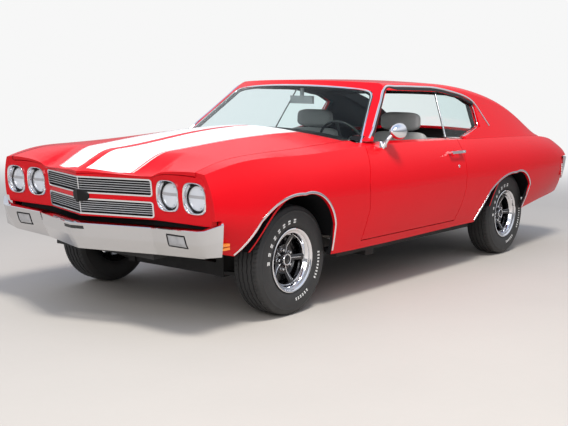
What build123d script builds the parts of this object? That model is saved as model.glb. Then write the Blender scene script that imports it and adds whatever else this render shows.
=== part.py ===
from build123d import *
import os
from math import atan2, cos, radians, sin

# A two-door hardtop muscle car.  X points forward, Y to the car's left, Z up.
# The origin lies on the ground under the middle of the car.  Millimetres.

# ---- overall layout
FRONT_AXLE_X = 1550.0
WHEELBASE = 2845.0
REAR_AXLE_X = FRONT_AXLE_X - WHEELBASE
TRACK = 1524.0

# ---- tyres and wheels
TYRE_RADIUS = 330.0
TYRE_WIDTH = 205.0
RIM_SEAT_RADIUS = 178.0
RIM_LIP_RADIUS = 191.0
RIM_WIDTH = 190.0
RIM_WALL = 7.0
RIM_DISC_INSET = 38.0
RIM_DISC_THICKNESS = 14.0
SPOKE_COUNT = 5
SPOKE_WIDTH = 46.0
SPOKE_HUB_RADIUS = 78.0
LUG_CIRCLE_RADIUS = 60.3
LUG_HOLE_RADIUS = 7.5
HUB_BORE_RADIUS = 36.0
HUB_CAP_RADIUS = 31.0
HUB_CAP_LENGTH = 34.0
TYRE_SPACE_Y = 612.0
RUNNING_CLEARANCE = 0.1
SEAT_CLEARANCE = 0.3
SPOKE_HUB_Z = 8.0
SPOKE_RIM_Z = 40.0
SPINDLE_RADIUS = 20.0
KNUCKLE_HALF = 105.0
ARM_THICKNESS = 22.0
DRUM_RADIUS = 130.0
DRUM_WIDTH = 62.0

# ---- body panels
SKIN = 22.0
PANEL_GAP = 6.0
SEAM = 0.5
DOOR_INNER_Y = 776.0
DOOR_FLANGE = 26.0
ROOF_WALL = 36.0
GLASS = 5.0
GLASS_SEAL = 0.4
GLASS_RUN = 7.0

BODY_REAR_X = -2452.0
BUMPER_RECESS_X = -2300.0
BUMPER_END_X = 2234.0
BUMPER_RECESS_Z = 752.0

# ---- front face of the body, a shallow V in plan that leans back
FACE_OUTER_X = 2289.0
FACE_CENTRE_X = 2442.0
FACE_V_Y = 450.0
FACE_Z = 750.0
FACE_LEAN = 0.118
HEADER_THICKNESS = 34.0
HEADER_BOTTOM_Z = 606.0
HEADER_TOP_Z = 960.0
HOOD_REST_GAP = 5.5

# ---- grille halves
GRILLE_HALF_WIDTH = 447.0
GRILLE_UPPER_Z = (736.0, 834.0)
GRILLE_LOWER_Z = (616.0, 708.0)
GRILLE_FRAME = 9.0
GRILLE_BARS = 5
GRILLE_BAR_HEIGHT = 4.0

# ---- lamps
LAMP_Y = (564.0, 764.0)
LAMP_Z = 751.0
LAMP_RADIUS = 73.0
LAMP_BEZEL_WIDTH = 166.0
LAMP_BEZEL_HEIGHT = 176.0
LAMP_BEZEL_DEPTH = 30.0

# ---- hood, trunk lid and door cuts
HOOD_REAR_CENTRE_X = 952.0
HOOD_REAR_CORNER_X = 852.0
TRUNK_FRONT_X = -1640.0
TRUNK_REAR_X = -2460.0
TRUNK_HALF = 582.0
LID_ARM_Y = (430.0, 470.0)
DOOR_BOTTOM_Z = 385.0
SILL_BOTTOM_Z = 330.0
LID_BOTTOM_Z = 846.0
COWL_DROP = 8.0

# ---- glass surfaces
WINDSHIELD_CENTRE_X = 982.0
WINDSHIELD_SIDE_X = 642.0
WINDSHIELD_SIDE_Y = 900.0
WINDSHIELD_Z = 987.0
WINDSHIELD_SLOPE = 1.45
BACKLIGHT_CENTRE_X = -1550.0
BACKLIGHT_SIDE_X = -1434.0
BACKLIGHT_HALF = 590.0
BACKLIGHT_Z = 1010.0
BACKLIGHT_SLOPE = 1.75
SIDE_GLASS_FOOT = (828.0, 940.0)
SIDE_GLASS_SLOPE = 0.467

# ---- inside and underneath
FLOOR_Z = 345.0
FLOOR_THICKNESS = 15.0
FIREWALL_X = 835.0
TUNNEL_RADIUS = 150.0
FRAME_HEIGHT = 95.0
FRAME_WIDTH = 62.0
FRAME_FRONT_X = 2262.0
FRAME_FRONT_Y = 390.0
FRAME_MIDDLE_Y = 690.0
FRAME_MIDDLE_Z = 297.2
FRAME_REAR_Y = 500.0
ENGINE_HALF = 270.0
AXLE_TUBE_RADIUS = 38.0
SPRING_RADIUS = 28.0
STEERING_ANGLE = 24.0
STEERING_CENTRE = (355.0, 370.0, 930.0)
STEERING_WHEEL_RADIUS = 190.0
STEERING_RING_RADIUS = 9.0
COLUMN_RADIUS = 24.0
EXHAUST_RADIUS = 24.0
MUFFLER_RADIUS = 62.0
HANDLE_FRONT_X = -205.0
HANDLE_REAR_X = -405.0
HANDLE_Z = 885.0
MARKER_REAR_X = 2172.0
MARKER_OUTER_Y = 908.0
MARKER_Z = (486.0, 506.0)
TAIL_LAMP_Y = (430.0, 740.0)
TAIL_LAMP_Z = (598.0, 686.0)
SIDE_LAMP_X = (-2297.0, -2266.0)
SIDE_LAMP_OUTER_Y = 917.0
SIDE_LAMP_Z = (585.0, 690.0)
MIRROR_X = 560.0
MIRROR_Y = 928.0
MIRROR_RADIUS = 54.0
MIRROR_LENGTH = 112.0
MIRROR_Z = 1062.0
KINGPIN_Y = 655.0

# Corners of a parking lamp in the bumper, columns: y, z
PARKING_LAMP = ((590, 483), (722, 481), (720, 548), (593, 549))
PARKING_LAMP_X = 2240.0

# Hood edge, columns: x, y
HOOD_EDGE = ((HOOD_REAR_CORNER_X, 716), (1690, 742), (2314, 780), (2620, 799))

# Raised middle of the hood: its edges lie just in the skin
# columns: x, half width, edge z, crown z
HOOD_DOME = (
    (2300, 330, 936.6, 944), (2100, 352, 966.5, 979), (1960, 357, 979.5, 992.8),
    (1825, 362, 993.1, 1009.5), (1690, 367, 1006.4, 1027.4), (1550, 372, 1019.1, 1045),
    (1380, 378, 1032.1, 1061.4), (1225, 385, 1040.8, 1072.2), (1060, 390, 1047.0, 1079.1),
    (900, 392, 1049.5, 1081),
)

# Door outline, columns: x, z
DOOR_OUTLINE = (
    (769, 1030), (867, 746), (862, 571), (926, DOOR_BOTTOM_Z),
    (-308, DOOR_BOTTOM_Z), (-379, 493), (-427, 611), (-438, 814), (-442, 1030),
)

# Side window outlines, columns: x, z
DOOR_WINDOW = ((690, 930), (661, 992), (268, 1326), (-425, 1316), (-318, 930))
QUARTER_WINDOW = (
    (-318, 930), (-425, 1316), (-760, 1270), (-947, 1212),
    (-906, 1047), (-609, 981), (-580, 930),
)

# Wheel arches from the axle: lower rear, rear, rear mid-arc, peak, front mid-arc, front, lower front
# columns: x, z
FRONT_ARCH = ((-298, 250), (-308, 520), (-215, 668), (0, 722), (230, 697), (395, 605), (650, 250))
REAR_ARCH = ((-140, 250), (-270, 560), (-185, 642), (0, 668), (250, 640), (448, 552), (740, 250))

# Lower body sections: station, sill edge, widest line, belt shoulder, crown
# columns: x, sill_y, sill_z, wide_y, wide_z, belt_y, belt_z, crown_z
BODY_SECTIONS = (
    (2520, 760, 560, 845, 690, 770, 800, 828),
    (2430, 780, 520, 866, 690, 812, 848, 886),
    (2300, 815, 480, 892, 690, 846, 888, 946),
    (2100, 850, 430, 932, 660, 868, 932, 974),
    (1550, 906, 350, 947, 680, 862, 948, 1036),
    (900, 914, 330, 947, 680, 850, 968, 1072),
    (250, 908, 330, 946, 680, 842, 976, 1046),
    (-600, 908, 335, 946, 680, 846, 964, 1020),
    (-1295, 906, 345, 947, 670, 842, 955, 1018),
    (-1900, 890, 410, 936, 680, 824, 940, 986),
    (-2300, 850, 440, 910, 680, 792, 894, 930),
    (-2480, 820, 470, 885, 680, 760, 838, 866),
)

# Greenhouse sections, outside: station, foot, rail, crown, rounding above the rail
# columns: x, foot_y, foot_z, rail_y, rail_z, crown_z, rounding
ROOF_SECTIONS = (
    (1050, 846, 940, 664, 1304, 1352, 34),
    (700, 846, 940, 662, 1322, 1376, 38),
    (300, 846, 940, 660, 1334, 1392, 40),
    (-200, 846, 940, 664, 1338, 1399, 40),
    (-800, 848, 940, 672, 1312, 1372, 40),
    (-1200, 850, 940, 690, 1254, 1310, 38),
    (-1550, 848, 930, 722, 1154, 1206, 36),
    (-1810, 838, 915, 756, 1032, 1078, 32),
    (-2060, 815, 895, 780, 930, 962, 22),
)

# Greenhouse sections, inside
# columns: x, foot_y, foot_z, rail_y, rail_z, crown_z, rounding
CABIN_SECTIONS = (
    (1060, 806, 930, 628, 1276, 1326, 24),
    (300, 806, 930, 626, 1298, 1356, 24),
    (-200, 806, 930, 628, 1302, 1363, 24),
    (-800, 806, 930, 632, 1276, 1336, 24),
    (-1060, 720, 930, 612, 1236, 1290, 24),
    (-1400, 620, 930, 600, 1130, 1180, 24),
    (-1700, 610, 930, 600, 1010, 1050, 24),
)


def at(x=0.0, y=0.0, z=0.0):
    return Location((x, y, z))


def span_box(x, y, z):
    """Box between the pairs of limits x, y and z."""
    size = [b - a for a, b in (x, y, z)]
    middle = [(a + b) / 2 for a, b in (x, y, z)]
    return at(*middle) * Box(*size)


def both_sides(piece):
    return [piece, mirror(piece, about=Plane.XZ)]


def body_section(x, sill_y, sill_z, wide_y, wide_z, belt_y, belt_z, crown_z):
    """Closed section across the lower body, in the plane at x."""
    edges = [
        Line((-sill_y, sill_z), (sill_y, sill_z)),
        TangentArc((wide_y, wide_z), (sill_y, sill_z), tangent=(0, -1)),
        TangentArc((wide_y, wide_z), (belt_y, belt_z), tangent=(0, 1)),
        ThreePointArc((belt_y, belt_z), (0, crown_z), (-belt_y, belt_z)),
        TangentArc((-wide_y, wide_z), (-belt_y, belt_z), tangent=(0, 1)),
        TangentArc((-wide_y, wide_z), (-sill_y, sill_z), tangent=(0, -1)),
    ]
    across = Plane(origin=(x, 0, 0), x_dir=(0, 1, 0), z_dir=(1, 0, 0))
    return across * make_face(Wire(edges))


def body_form(inset=0.0, overrun=0.0):
    """Solid of the lower body, moved in by the inset on every side."""
    faces = []
    last = len(BODY_SECTIONS) - 1
    for i, (x, sy, sz, wy, wz, by, bz, cz) in enumerate(BODY_SECTIONS):
        beyond = {0: overrun, last: -overrun}.get(i, 0.0)
        faces.append(body_section(
            x + beyond, sy - inset, sz + inset, wy - inset, wz,
            by - inset * 0.8, bz - inset, cz - inset))
    return loft(faces)


def roof_section(x, foot_y, foot_z, rail_y, rail_z, crown_z, rounding):
    """Closed section across the greenhouse, in the plane at x."""
    lean = Vector(rail_y - foot_y, rail_z - foot_z).normalized()
    corner_y = rail_y + (lean.X - 1) * rounding
    corner_z = rail_z + (lean.Y + 0.1) * rounding
    edges = [
        Line((-foot_y, foot_z), (foot_y, foot_z)),
        Line((foot_y, foot_z), (rail_y, rail_z)),
        TangentArc((rail_y, rail_z), (corner_y, corner_z), tangent=(lean.X, lean.Y)),
        ThreePointArc((corner_y, corner_z), (0, crown_z), (-corner_y, corner_z)),
        TangentArc((-rail_y, rail_z), (-corner_y, corner_z), tangent=(-lean.X, lean.Y)),
        Line((-rail_y, rail_z), (-foot_y, foot_z)),
    ]
    across = Plane(origin=(x, 0, 0), x_dir=(0, 1, 0), z_dir=(1, 0, 0))
    return across * make_face(Wire(edges))


def plan_prism(outline, z0, z1):
    """Closed plan outline of edges or points, drawn up from z0 to z1."""
    return at(0, 0, z0) * extrude(outline, z1 - z0)


def face_slab(front, back, z0=500.0, z1=1100.0, half=1000.0):
    """Slab between two copies of the leaning V face, set back by front and back."""
    rows = [(FACE_OUTER_X, half), (FACE_OUTER_X, FACE_V_Y), (FACE_CENTRE_X, 0),
            (FACE_OUTER_X, -FACE_V_Y), (FACE_OUTER_X, -half)]
    low = (z0 - FACE_Z) * FACE_LEAN
    ahead = [(x - front + low, y) for x, y in rows]
    behind = [(x - back + low, y) for x, y in reversed(rows)]
    face = make_face(Polyline(*ahead, *behind, close=True))
    height = z1 - z0
    way = Vector(FACE_LEAN, 0, 1)
    return at(0, 0, z0) * extrude(face, height * way.length, dir=way)


def glass_region(centre_x, side_x, side_y, level_z, slope, half, shift=0.0, reach=1500.0):
    """Region beyond a curved, leaning glass surface, cut off at y = half."""
    low = 880.0
    lean = -slope if reach > 0 else slope
    offset = shift + (low - level_z) * lean
    bow = (centre_x - side_x) / side_y ** 2
    edge_x = centre_x - bow * half ** 2
    front = ThreePointArc((edge_x + offset, -half), (centre_x + offset, 0), (edge_x + offset, half))
    back = Polyline((edge_x + offset, half), (centre_x + offset + reach, half),
                    (centre_x + offset + reach, -half), (edge_x + offset, -half))
    way = Vector(lean, 0, 1)
    height = 700.0
    return at(0, 0, low) * extrude(make_face([front, back]), height * way.length, dir=way)


def windshield_region(shift=0.0, half=WINDSHIELD_SIDE_Y):
    return glass_region(WINDSHIELD_CENTRE_X, WINDSHIELD_SIDE_X, WINDSHIELD_SIDE_Y,
                        WINDSHIELD_Z, WINDSHIELD_SLOPE, half, shift)


def backlight_region(shift=0.0, half=BACKLIGHT_HALF):
    return glass_region(BACKLIGHT_CENTRE_X, BACKLIGHT_SIDE_X, BACKLIGHT_HALF,
                        BACKLIGHT_Z, BACKLIGHT_SLOPE, half, shift, reach=-1500.0)


def hood_outline(gap=0.0, rear_gap=0.0):
    """Hood plan, widened by the gap at its sides and rear."""
    right = [(x, -y - gap) for x, y in HOOD_EDGE]
    left = [(x, y + gap) for x, y in reversed(HOOD_EDGE)]
    right[0] = (right[0][0] - rear_gap, right[0][1])
    left[-1] = (left[-1][0] - rear_gap, left[-1][1])
    rear = ThreePointArc(left[-1], (HOOD_REAR_CENTRE_X - rear_gap, 0), right[0])
    return make_face([Polyline(*right, *left), rear])


def outline_face(points, grow=0.0, radius=0.0):
    wire = FilletPolyline(*points, radius=radius, close=True) if radius else \
        Polyline(*points, close=True)
    face = make_face(wire)
    return offset(face, grow, kind=Kind.INTERSECTION) if grow else face


def side_cut(face, y0, y1):
    """Side outline drawn in (x, z), made solid from y0 to y1."""
    return at(0, y1, 0) * extrude(Plane.XZ * face, y1 - y0)


def dome_arc(radius, base, rise):
    """Arc of a shallow dome, from its rim to its crown on the axis."""
    sphere = (radius ** 2 + rise ** 2) / (2 * rise)
    centre = base + rise - sphere
    half = atan2(radius, base - centre) / 2
    middle = (sphere * sin(half), centre + sphere * cos(half))
    return ThreePointArc((radius, base), middle, (0, base + rise))


def tyre_space(axle_x):
    """Room kept free for a tyre inside the skin."""
    width = TRACK / 2 + TYRE_WIDTH / 2 + 18 - TYRE_SPACE_Y
    return at(axle_x, TYRE_SPACE_Y, TYRE_RADIUS) * (Rot(-90, 0, 0) * Cylinder(
        TYRE_RADIUS + 32, width, align=(Align.CENTER, Align.CENTER, Align.MIN)))


def arch_face(points, axle_x):
    p = [(x + axle_x, z) for x, z in points]
    return make_face([Line(p[0], p[1]), ThreePointArc(p[1], p[2], p[3]),
                      ThreePointArc(p[3], p[4], p[5]), Line(p[5], p[6]), Line(p[6], p[0])])


# ---- master forms
body = body_form()
body_inside = body_form(inset=SKIN, overrun=30.0)
body_core = body_form(inset=SKIN + PANEL_GAP + 2.0, overrun=60.0)
body = body - face_slab(-600, 0) - span_box((-2600, BODY_REAR_X), (-1000, 1000), (300, 1100)) \
    - span_box((-2600, BUMPER_RECESS_X), (-1000, 1000), (300, BUMPER_RECESS_Z))
body_skin = body - body_inside
greenhouse = loft([roof_section(*row) for row in ROOF_SECTIONS])
cabin = loft([roof_section(*row) for row in CABIN_SECTIONS], ruled=True)

parts = {}


def keep(name, *shapes):
    """Collect the solids of one piece."""
    solids = [solid for shape in shapes for solid in shape.solids()]
    parts[name] = solids[0] if len(solids) == 1 else Compound(children=solids)


# ---- cutters shared by neighbouring panels
front_arch = side_cut(arch_face(FRONT_ARCH, FRONT_AXLE_X), 600, 1000)
rear_arch = side_cut(arch_face(REAR_ARCH, REAR_AXLE_X), 600, 1000)
door_face = outline_face(DOOR_OUTLINE)
door_gap_face = outline_face(DOOR_OUTLINE, PANEL_GAP)
door_inner_face = outline_face(DOOR_OUTLINE, -DOOR_FLANGE)
hood_hole = plan_prism(hood_outline(PANEL_GAP, PANEL_GAP), 820, 1150)

# ---- fenders: outer skin with the wheelhouse behind it
fender_zone = (span_box((700, 2500), (560, 1000), (700, 1000)) + span_box((700, 2500), (800, 1000), (300, 700))) \
    - side_cut(outline_face(((-500, 0), (-500, 1030), (769, 1030), (867, 746), (862, 571),
                             (926, 385), (926, 0)), PANEL_GAP), 500, 1010)
fender = (body_skin & fender_zone) - front_arch - hood_hole - span_box((600, 960), (0, 701), (300, 1100))
wheelhouse_front = at(FRONT_AXLE_X, 470, TYRE_RADIUS) * (Rot(-90, 0, 0) * (
    Cylinder(418, 500, align=(Align.CENTER, Align.CENTER, Align.MIN))
    - Cylinder(406, 500, align=(Align.CENTER, Align.CENTER, Align.MIN))))
wheelhouse_front = wheelhouse_front & body_inside & span_box((1100, 2000), (460, 1000), (430, 900))
fender = (fender + wheelhouse_front) - span_box((BUMPER_END_X, 2500), (790, 1000), (300, 640)) \
    - tyre_space(FRONT_AXLE_X)
keep("fenders", *both_sides(fender))

# ---- hood and header panel
hood = body_skin & plan_prism(hood_outline(), LID_BOTTOM_Z + 4, 1150)


def dome_section(x, half, edge_z, crown_z):
    """Lens across the hood's middle, its crown standing above the skin."""
    across = Plane(origin=(x, 0, 0), x_dir=(0, 1, 0), z_dir=(1, 0, 0))
    top = ThreePointArc((half, edge_z), (0, crown_z), (-half, edge_z))
    low = ThreePointArc((-half, edge_z), (0, crown_z - SKIN), (half, edge_z))
    return across * make_face([top, low])


dome = loft([dome_section(*row) for row in HOOD_DOME])
hood = hood + (dome & plan_prism(hood_outline(), LID_BOTTOM_Z + 4, 1150))
keep("hood", hood)

under_hood = plan_prism(hood_outline(), LID_BOTTOM_Z - 40, 1150) - body_form(inset=SKIN + HOOD_REST_GAP, overrun=90.0)
header = (face_slab(0, HEADER_THICKNESS) & body_form(inset=SKIN + SEAM, overrun=90.0)
          & span_box((2000, 2500), (-900, 900), (HEADER_BOTTOM_Z, HEADER_TOP_Z))) - under_hood


def grille_outline(z_limits, inset=0.0):
    z0, z1 = z_limits
    half = GRILLE_HALF_WIDTH - inset
    shape = Plane.YZ * RectangleRounded(2 * half, z1 - z0 - 2 * inset, 18 - inset)
    return at(2200, 0, (z0 + z1) / 2) * extrude(shape, 400)


for limits in (GRILLE_UPPER_Z, GRILLE_LOWER_Z):
    header = header - grille_outline(limits, -SEAM)
for y in LAMP_Y:
    for side in (-y, y):
        hole = at(2200, side, LAMP_Z) * extrude(
            Plane.YZ * RectangleRounded(LAMP_BEZEL_WIDTH - 12, LAMP_BEZEL_HEIGHT - 12, 68), 400)
        header = header - hole
keep("header_panel", header)

# ---- grille: bright frames, dark bars and the plain pad at the middle
frames = []
bars = []
for limits in (GRILLE_UPPER_Z, GRILLE_LOWER_Z):
    ring = grille_outline(limits) - grille_outline(limits, GRILLE_FRAME)
    frame = ring & face_slab(-4, HEADER_THICKNESS)
    divider = span_box((2200, 2600), (-4, 4), limits) & face_slab(2, HEADER_THICKNESS - 6)
    inner = grille_outline(limits, GRILLE_FRAME)
    frames.append(frame + (divider & inner))
    z0, z1 = limits
    pitch = (z1 - z0 - 2 * GRILLE_FRAME) / (GRILLE_BARS + 1)
    row = None
    for i in range(GRILLE_BARS):
        z = z0 + GRILLE_FRAME + pitch * (i + 1)
        bar = span_box((2200, 2600), (-600, 600), (z - GRILLE_BAR_HEIGHT / 2, z + GRILLE_BAR_HEIGHT / 2))
        row = bar if row is None else row + bar
    row = row & face_slab(6, HEADER_THICKNESS - 10)
    web = face_slab(HEADER_THICKNESS - 10, HEADER_THICKNESS)
    bars.append(((row + web) & grille_outline(limits, GRILLE_FRAME + 0.3))
                - span_box((2200, 2600), (-4.3, 4.3), limits))
keep("grille_frames", *frames)
keep("grille_bars", *bars)

# ---- headlamps
bezels = []
lamps = []
for y in LAMP_Y:
    for side in (-y, y):
        plate = Plane.YZ * RectangleRounded(LAMP_BEZEL_WIDTH, LAMP_BEZEL_HEIGHT, 74)
        plate = at(2200, side, LAMP_Z) * extrude(plate, 200)
        x = FACE_OUTER_X
        ring = at(x, side, LAMP_Z) * (Rot(0, 90, 0) * Cylinder(LAMP_RADIUS + 3.6, 22))
        bore = at(x, side, LAMP_Z) * (Rot(0, 90, 0) * Cylinder(LAMP_RADIUS + SEAT_CLEARANCE, 200))
        bezels.append((plate & face_slab(-8, -SEAT_CLEARANCE)) + ring - bore)
        profile = make_face([
            Polyline((0, 11), (0, -70), (LAMP_RADIUS * 0.5, -62), (LAMP_RADIUS, -14), (LAMP_RADIUS, -4)),
            dome_arc(LAMP_RADIUS, -4, 15)])
        lamp = Rot(0, 90, 0) * revolve(Plane.XZ * profile, Axis.Z)
        lamps.append(at(x - 6, side, LAMP_Z) * lamp)
keep("headlamp_bezels", *bezels)
keep("headlamps", *lamps)


# ---- bumpers: a bright face that tucks under, with a flange along its top
# Stations from the middle to one end; x is forward of the middle of the car
# columns: x, y, top_z, bottom_z, tuck, flange, angle of the face from the car's axis
FRONT_BUMPER = (
    (2505, 0, 572, 420, 60, 58, 0),
    (2488, 70, 572, 420, 60, 58, 13),
    (2342, 480, 571, 415, 66, 58, 10),
    (2338, 820, 583, 428, 78, 50, 8),
    (2326, 862, 588, 433, 74, 44, 35),
    (2264, 946, 626, 451, 24, 8, 62),
)
REAR_BUMPER = (
    (2505, 0, 742, 548, 34, 50, 0),
    (2500, 400, 742, 548, 34, 50, 4),
    (2452, 852, 740, 550, 34, 46, 10),
    (2434, 890, 739, 552, 34, 40, 40),
    (2308, 919, 736, 556, 14, 8, 80),
)
BUMPER_WALL = 9.0
BUMPER_KNEE = 0.35
BUMPER_RETURN = 24.0
BUMPER_FLANGE_RISE = 9.0


def bumper_section(x, y, top_z, bottom_z, tuck, flange, angle, end, back):
    """Section of a bumper; back draws the room ahead of its inner face instead."""
    out = Vector(cos(radians(angle)), sin(radians(angle)))
    wall = BUMPER_WALL
    middle_z = (top_z + bottom_z) / 2
    knee = tuck * BUMPER_KNEE
    if back:
        depth = wall + SEAT_CLEARANCE
        points = [(depth, top_z - wall), (-wall, top_z - wall), (-wall, bottom_z + wall),
                  (depth + tuck, bottom_z + wall), (depth + knee, middle_z)]
    else:
        inner = tuck + BUMPER_RETURN
        points = [(flange, top_z + BUMPER_FLANGE_RISE), (4, top_z + 3), (0, top_z), (knee, middle_z),
                  (tuck, bottom_z), (inner, bottom_z + 5), (inner, bottom_z + 5 + wall),
                  (tuck + wall, bottom_z + wall), (knee + wall, middle_z), (wall, top_z - wall),
                  (flange, top_z + BUMPER_FLANGE_RISE - wall * 0.8)]
    places = [((x - out.X * depth) * end, y - out.Y * depth, z) for depth, z in points]
    return make_face(Polyline(*places, close=True))


def bumper(stations, end, back=False):
    """Whole bumper at the front (end 1) or the rear (end -1), from one wrapped end to the other."""
    far = [(x, -y, *sizes, -angle) for x, y, *sizes, angle in reversed(stations[1:])]
    return loft([bumper_section(*row, end, back) for row in (*far, *stations)], ruled=True)


front_bumper = bumper(FRONT_BUMPER, 1)
rear_bumper = bumper(REAR_BUMPER, -1)
front_bumper_room = bumper(FRONT_BUMPER, 1, back=True)
rear_bumper_room = bumper(REAR_BUMPER, -1, back=True)


# ---- doors
door_zone = span_box((-600, 1100), (DOOR_INNER_Y, 1000), (300, 1010))
door_skin = body_skin & side_cut(door_face, 700, 1000) & door_zone
door_box = body & side_cut(door_inner_face, DOOR_INNER_Y, 1000) & door_zone
door = door_skin + door_box
for side, name in zip(both_sides(door), ("door_left", "door_right")):
    keep(name, side)

# ---- quarters: skin, the trim wall beside the rear seat and the wheelhouse
trunk_hole = span_box((-2700, TRUNK_FRONT_X + 200), (-TRUNK_HALF - PANEL_GAP, TRUNK_HALF + PANEL_GAP), (780, 1100))
quarter_zone = (span_box((-2500, 900), (586, 1000), (780, 1030)) + span_box((-2500, 900), (820, 1000), (300, 780))) \
    - side_cut(outline_face(((1200, 0), (1200, 1030), (-442, 1030), (-438, 814), (-427, 611),
                             (-379, 493), (-308, 385), (-308, 0)), PANEL_GAP), 500, 1010)
quarter_skin = (body_skin & quarter_zone) - trunk_hole \
    - span_box((-1450, 900), (0, DOOR_INNER_Y), (800, 1100))
quarter_wall = body & side_cut(outline_face(
    ((-480, 420), (-480, 1030), (-1180, 1030), (-1180, 760), (-900, 640), (-820, 420))), DOOR_INNER_Y, 1000)
wheelhouse_rear = at(REAR_AXLE_X, 590, TYRE_RADIUS) * (Rot(-90, 0, 0) * (
    Cylinder(402, 400, align=(Align.CENTER, Align.CENTER, Align.MIN))
    - at(0, 0, 12) * Cylinder(390, 400, align=(Align.CENTER, Align.CENTER, Align.MIN))))
wheelhouse_rear = wheelhouse_rear & body_inside & span_box((-1720, -880), (580, 1000), (430, 900))
wheel_space = at(REAR_AXLE_X, 602, TYRE_RADIUS) * (Rot(-90, 0, 0) * Cylinder(
    390, 400, align=(Align.CENTER, Align.CENTER, Align.MIN)))
wheelhouse_rear = wheelhouse_rear - span_box((-1030, -870), (500, 760), (400, 600))
quarter = (quarter_skin - rear_arch - tyre_space(REAR_AXLE_X)) + ((quarter_wall - wheel_space) - rear_arch) \
    + wheelhouse_rear
keep("quarter_panels", *both_sides(quarter))

# ---- trunk lid and the deck panel ahead of it
lid_zone = span_box((TRUNK_REAR_X, TRUNK_FRONT_X), (-TRUNK_HALF, TRUNK_HALF), (800, 1100))
keep("trunk_lid", body_skin & lid_zone)

# ---- roof with its pillars
roof = greenhouse - cabin - windshield_region() - backlight_region()
side_window = side_cut(outline_face(DOOR_WINDOW), -1000, 1000) + side_cut(outline_face(QUARTER_WINDOW), -1000, 1000)
roof = roof - side_window - span_box((-2200, -1380), (-BACKLIGHT_HALF, BACKLIGHT_HALF), (850, 1300))
roof = roof - at(0, 0, SEAM) * body
door_top = at(0, 0, PANEL_GAP) * body & span_box((-448, 775), (-1000, 1000), (800, 1100))
roof = roof - door_top - both_sides(span_box((640, 800), (770, 1000), (800, 996)))
pillar_root = ((span_box((664, 762), (700, 830), (926, 1030)) & greenhouse) - windshield_region()) - door_top \
    - span_box((600, 800), (770, 1000), (800, 1000))
roof = roof + pillar_root + mirror(pillar_root, about=Plane.XZ)
keep("roof", roof)
deck_panel = (body_skin & span_box((TRUNK_FRONT_X + PANEL_GAP, -1395), (-TRUNK_HALF, TRUNK_HALF), (900, 1100)) - span_box((-1450, -1300), (-1000, 1000), (800, 1100))) \
    - at(0, 0, -SEAM) * roof
lid_arm = span_box((TRUNK_FRONT_X - 60, TRUNK_FRONT_X + 30), LID_ARM_Y, (925, 1000)) & (at(0, 0, -SEAT_CLEARANCE) * body_inside)
lid_arm += span_box((TRUNK_FRONT_X + 1, TRUNK_FRONT_X + 30), LID_ARM_Y, (925, 1000)) & body
keep("deck_panel", deck_panel + both_sides(lid_arm))

# ---- cowl and firewall
cowl_zone = plan_prism(make_face([
    ThreePointArc((HOOD_REAR_CORNER_X - 14, 700), (HOOD_REAR_CENTRE_X - 14, 0), (HOOD_REAR_CORNER_X - 14, -700)),
    Polyline((HOOD_REAR_CORNER_X - 14, -700), (690, -700), (690, 700), (HOOD_REAR_CORNER_X - 14, 700))]), 925, 1100)
cowl = (body_core & cowl_zone) + (at(0, 0, -COWL_DROP) * body & cowl_zone & span_box((600, 1000), (-700, 700), (925, 1100)))
firewall = span_box((FIREWALL_X - 14, FIREWALL_X), (-701, 701), (FLOOR_Z + 70, 925))
shaft_hole = at(700, 0, FLOOR_Z) * (Rot(0, 90, 0) * Cylinder(TUNNEL_RADIUS - 12, 400))
hinge_post = span_box((700, 800), (700, DOOR_INNER_Y - PANEL_GAP), (FLOOR_Z + 60, 925))
hinge_arm = span_box((846, 900), (590, 630), (925, 1060)) & (at(0, 0, -SEAT_CLEARANCE) * body_inside)
cowl = cowl + hinge_arm + mirror(hinge_arm, about=Plane.XZ)
keep("cowl", (cowl + firewall + hinge_post + mirror(hinge_post, about=Plane.XZ)) - shaft_hole)

# ---- glass
screen_side = cabin & span_box((200, 1100), (-900, 900), (930, 1400))
windshield = (windshield_region(-9.8) - windshield_region(-1.0)) & screen_side
windshield = windshield - at(0, 0, GLASS_SEAL - COWL_DROP) * body - roof
windshield_ends = at(0, 0, GLASS_SEAL) * body & (span_box((500, 1000), (699, 1000), (800, 1100)) + span_box((500, 1000), (-1000, -699), (800, 1100)))
windshield = windshield - windshield_ends
backlight = (backlight_region(9.0, BACKLIGHT_HALF - GLASS_SEAL) - backlight_region(0.0, BACKLIGHT_HALF + 1))
backlight = backlight & cabin & span_box((-1700, -850), (-700, 700), (900, 1400))
backlight = backlight - at(0, 0, GLASS_SEAL) * body_form() - roof

foot_y, foot_z = SIDE_GLASS_FOOT
rise = 420.0
side_slab = Plane.YZ * make_face(Polyline(
    (foot_y, foot_z), (foot_y - rise * SIDE_GLASS_SLOPE, foot_z + rise),
    (foot_y - rise * SIDE_GLASS_SLOPE - GLASS, foot_z + rise), (foot_y - GLASS, foot_z), close=True))
side_slab = at(-1200, 0, 0) * extrude(side_slab, 2000)
quarter_glass = side_slab & side_cut(outline_face(QUARTER_WINDOW, -1.0), 500, 1000)
quarter_glass = quarter_glass - at(0, 0, GLASS_SEAL) * body
keep("fixed_glass", windshield, backlight, *both_sides(quarter_glass))
door_glass = side_slab & side_cut(outline_face(DOOR_WINDOW, -GLASS_RUN), 500, 1000)
door_glass = door_glass - at(0, 0, GLASS_SEAL) * body
keep("door_glass_right", mirror(door_glass, about=Plane.XZ))

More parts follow.
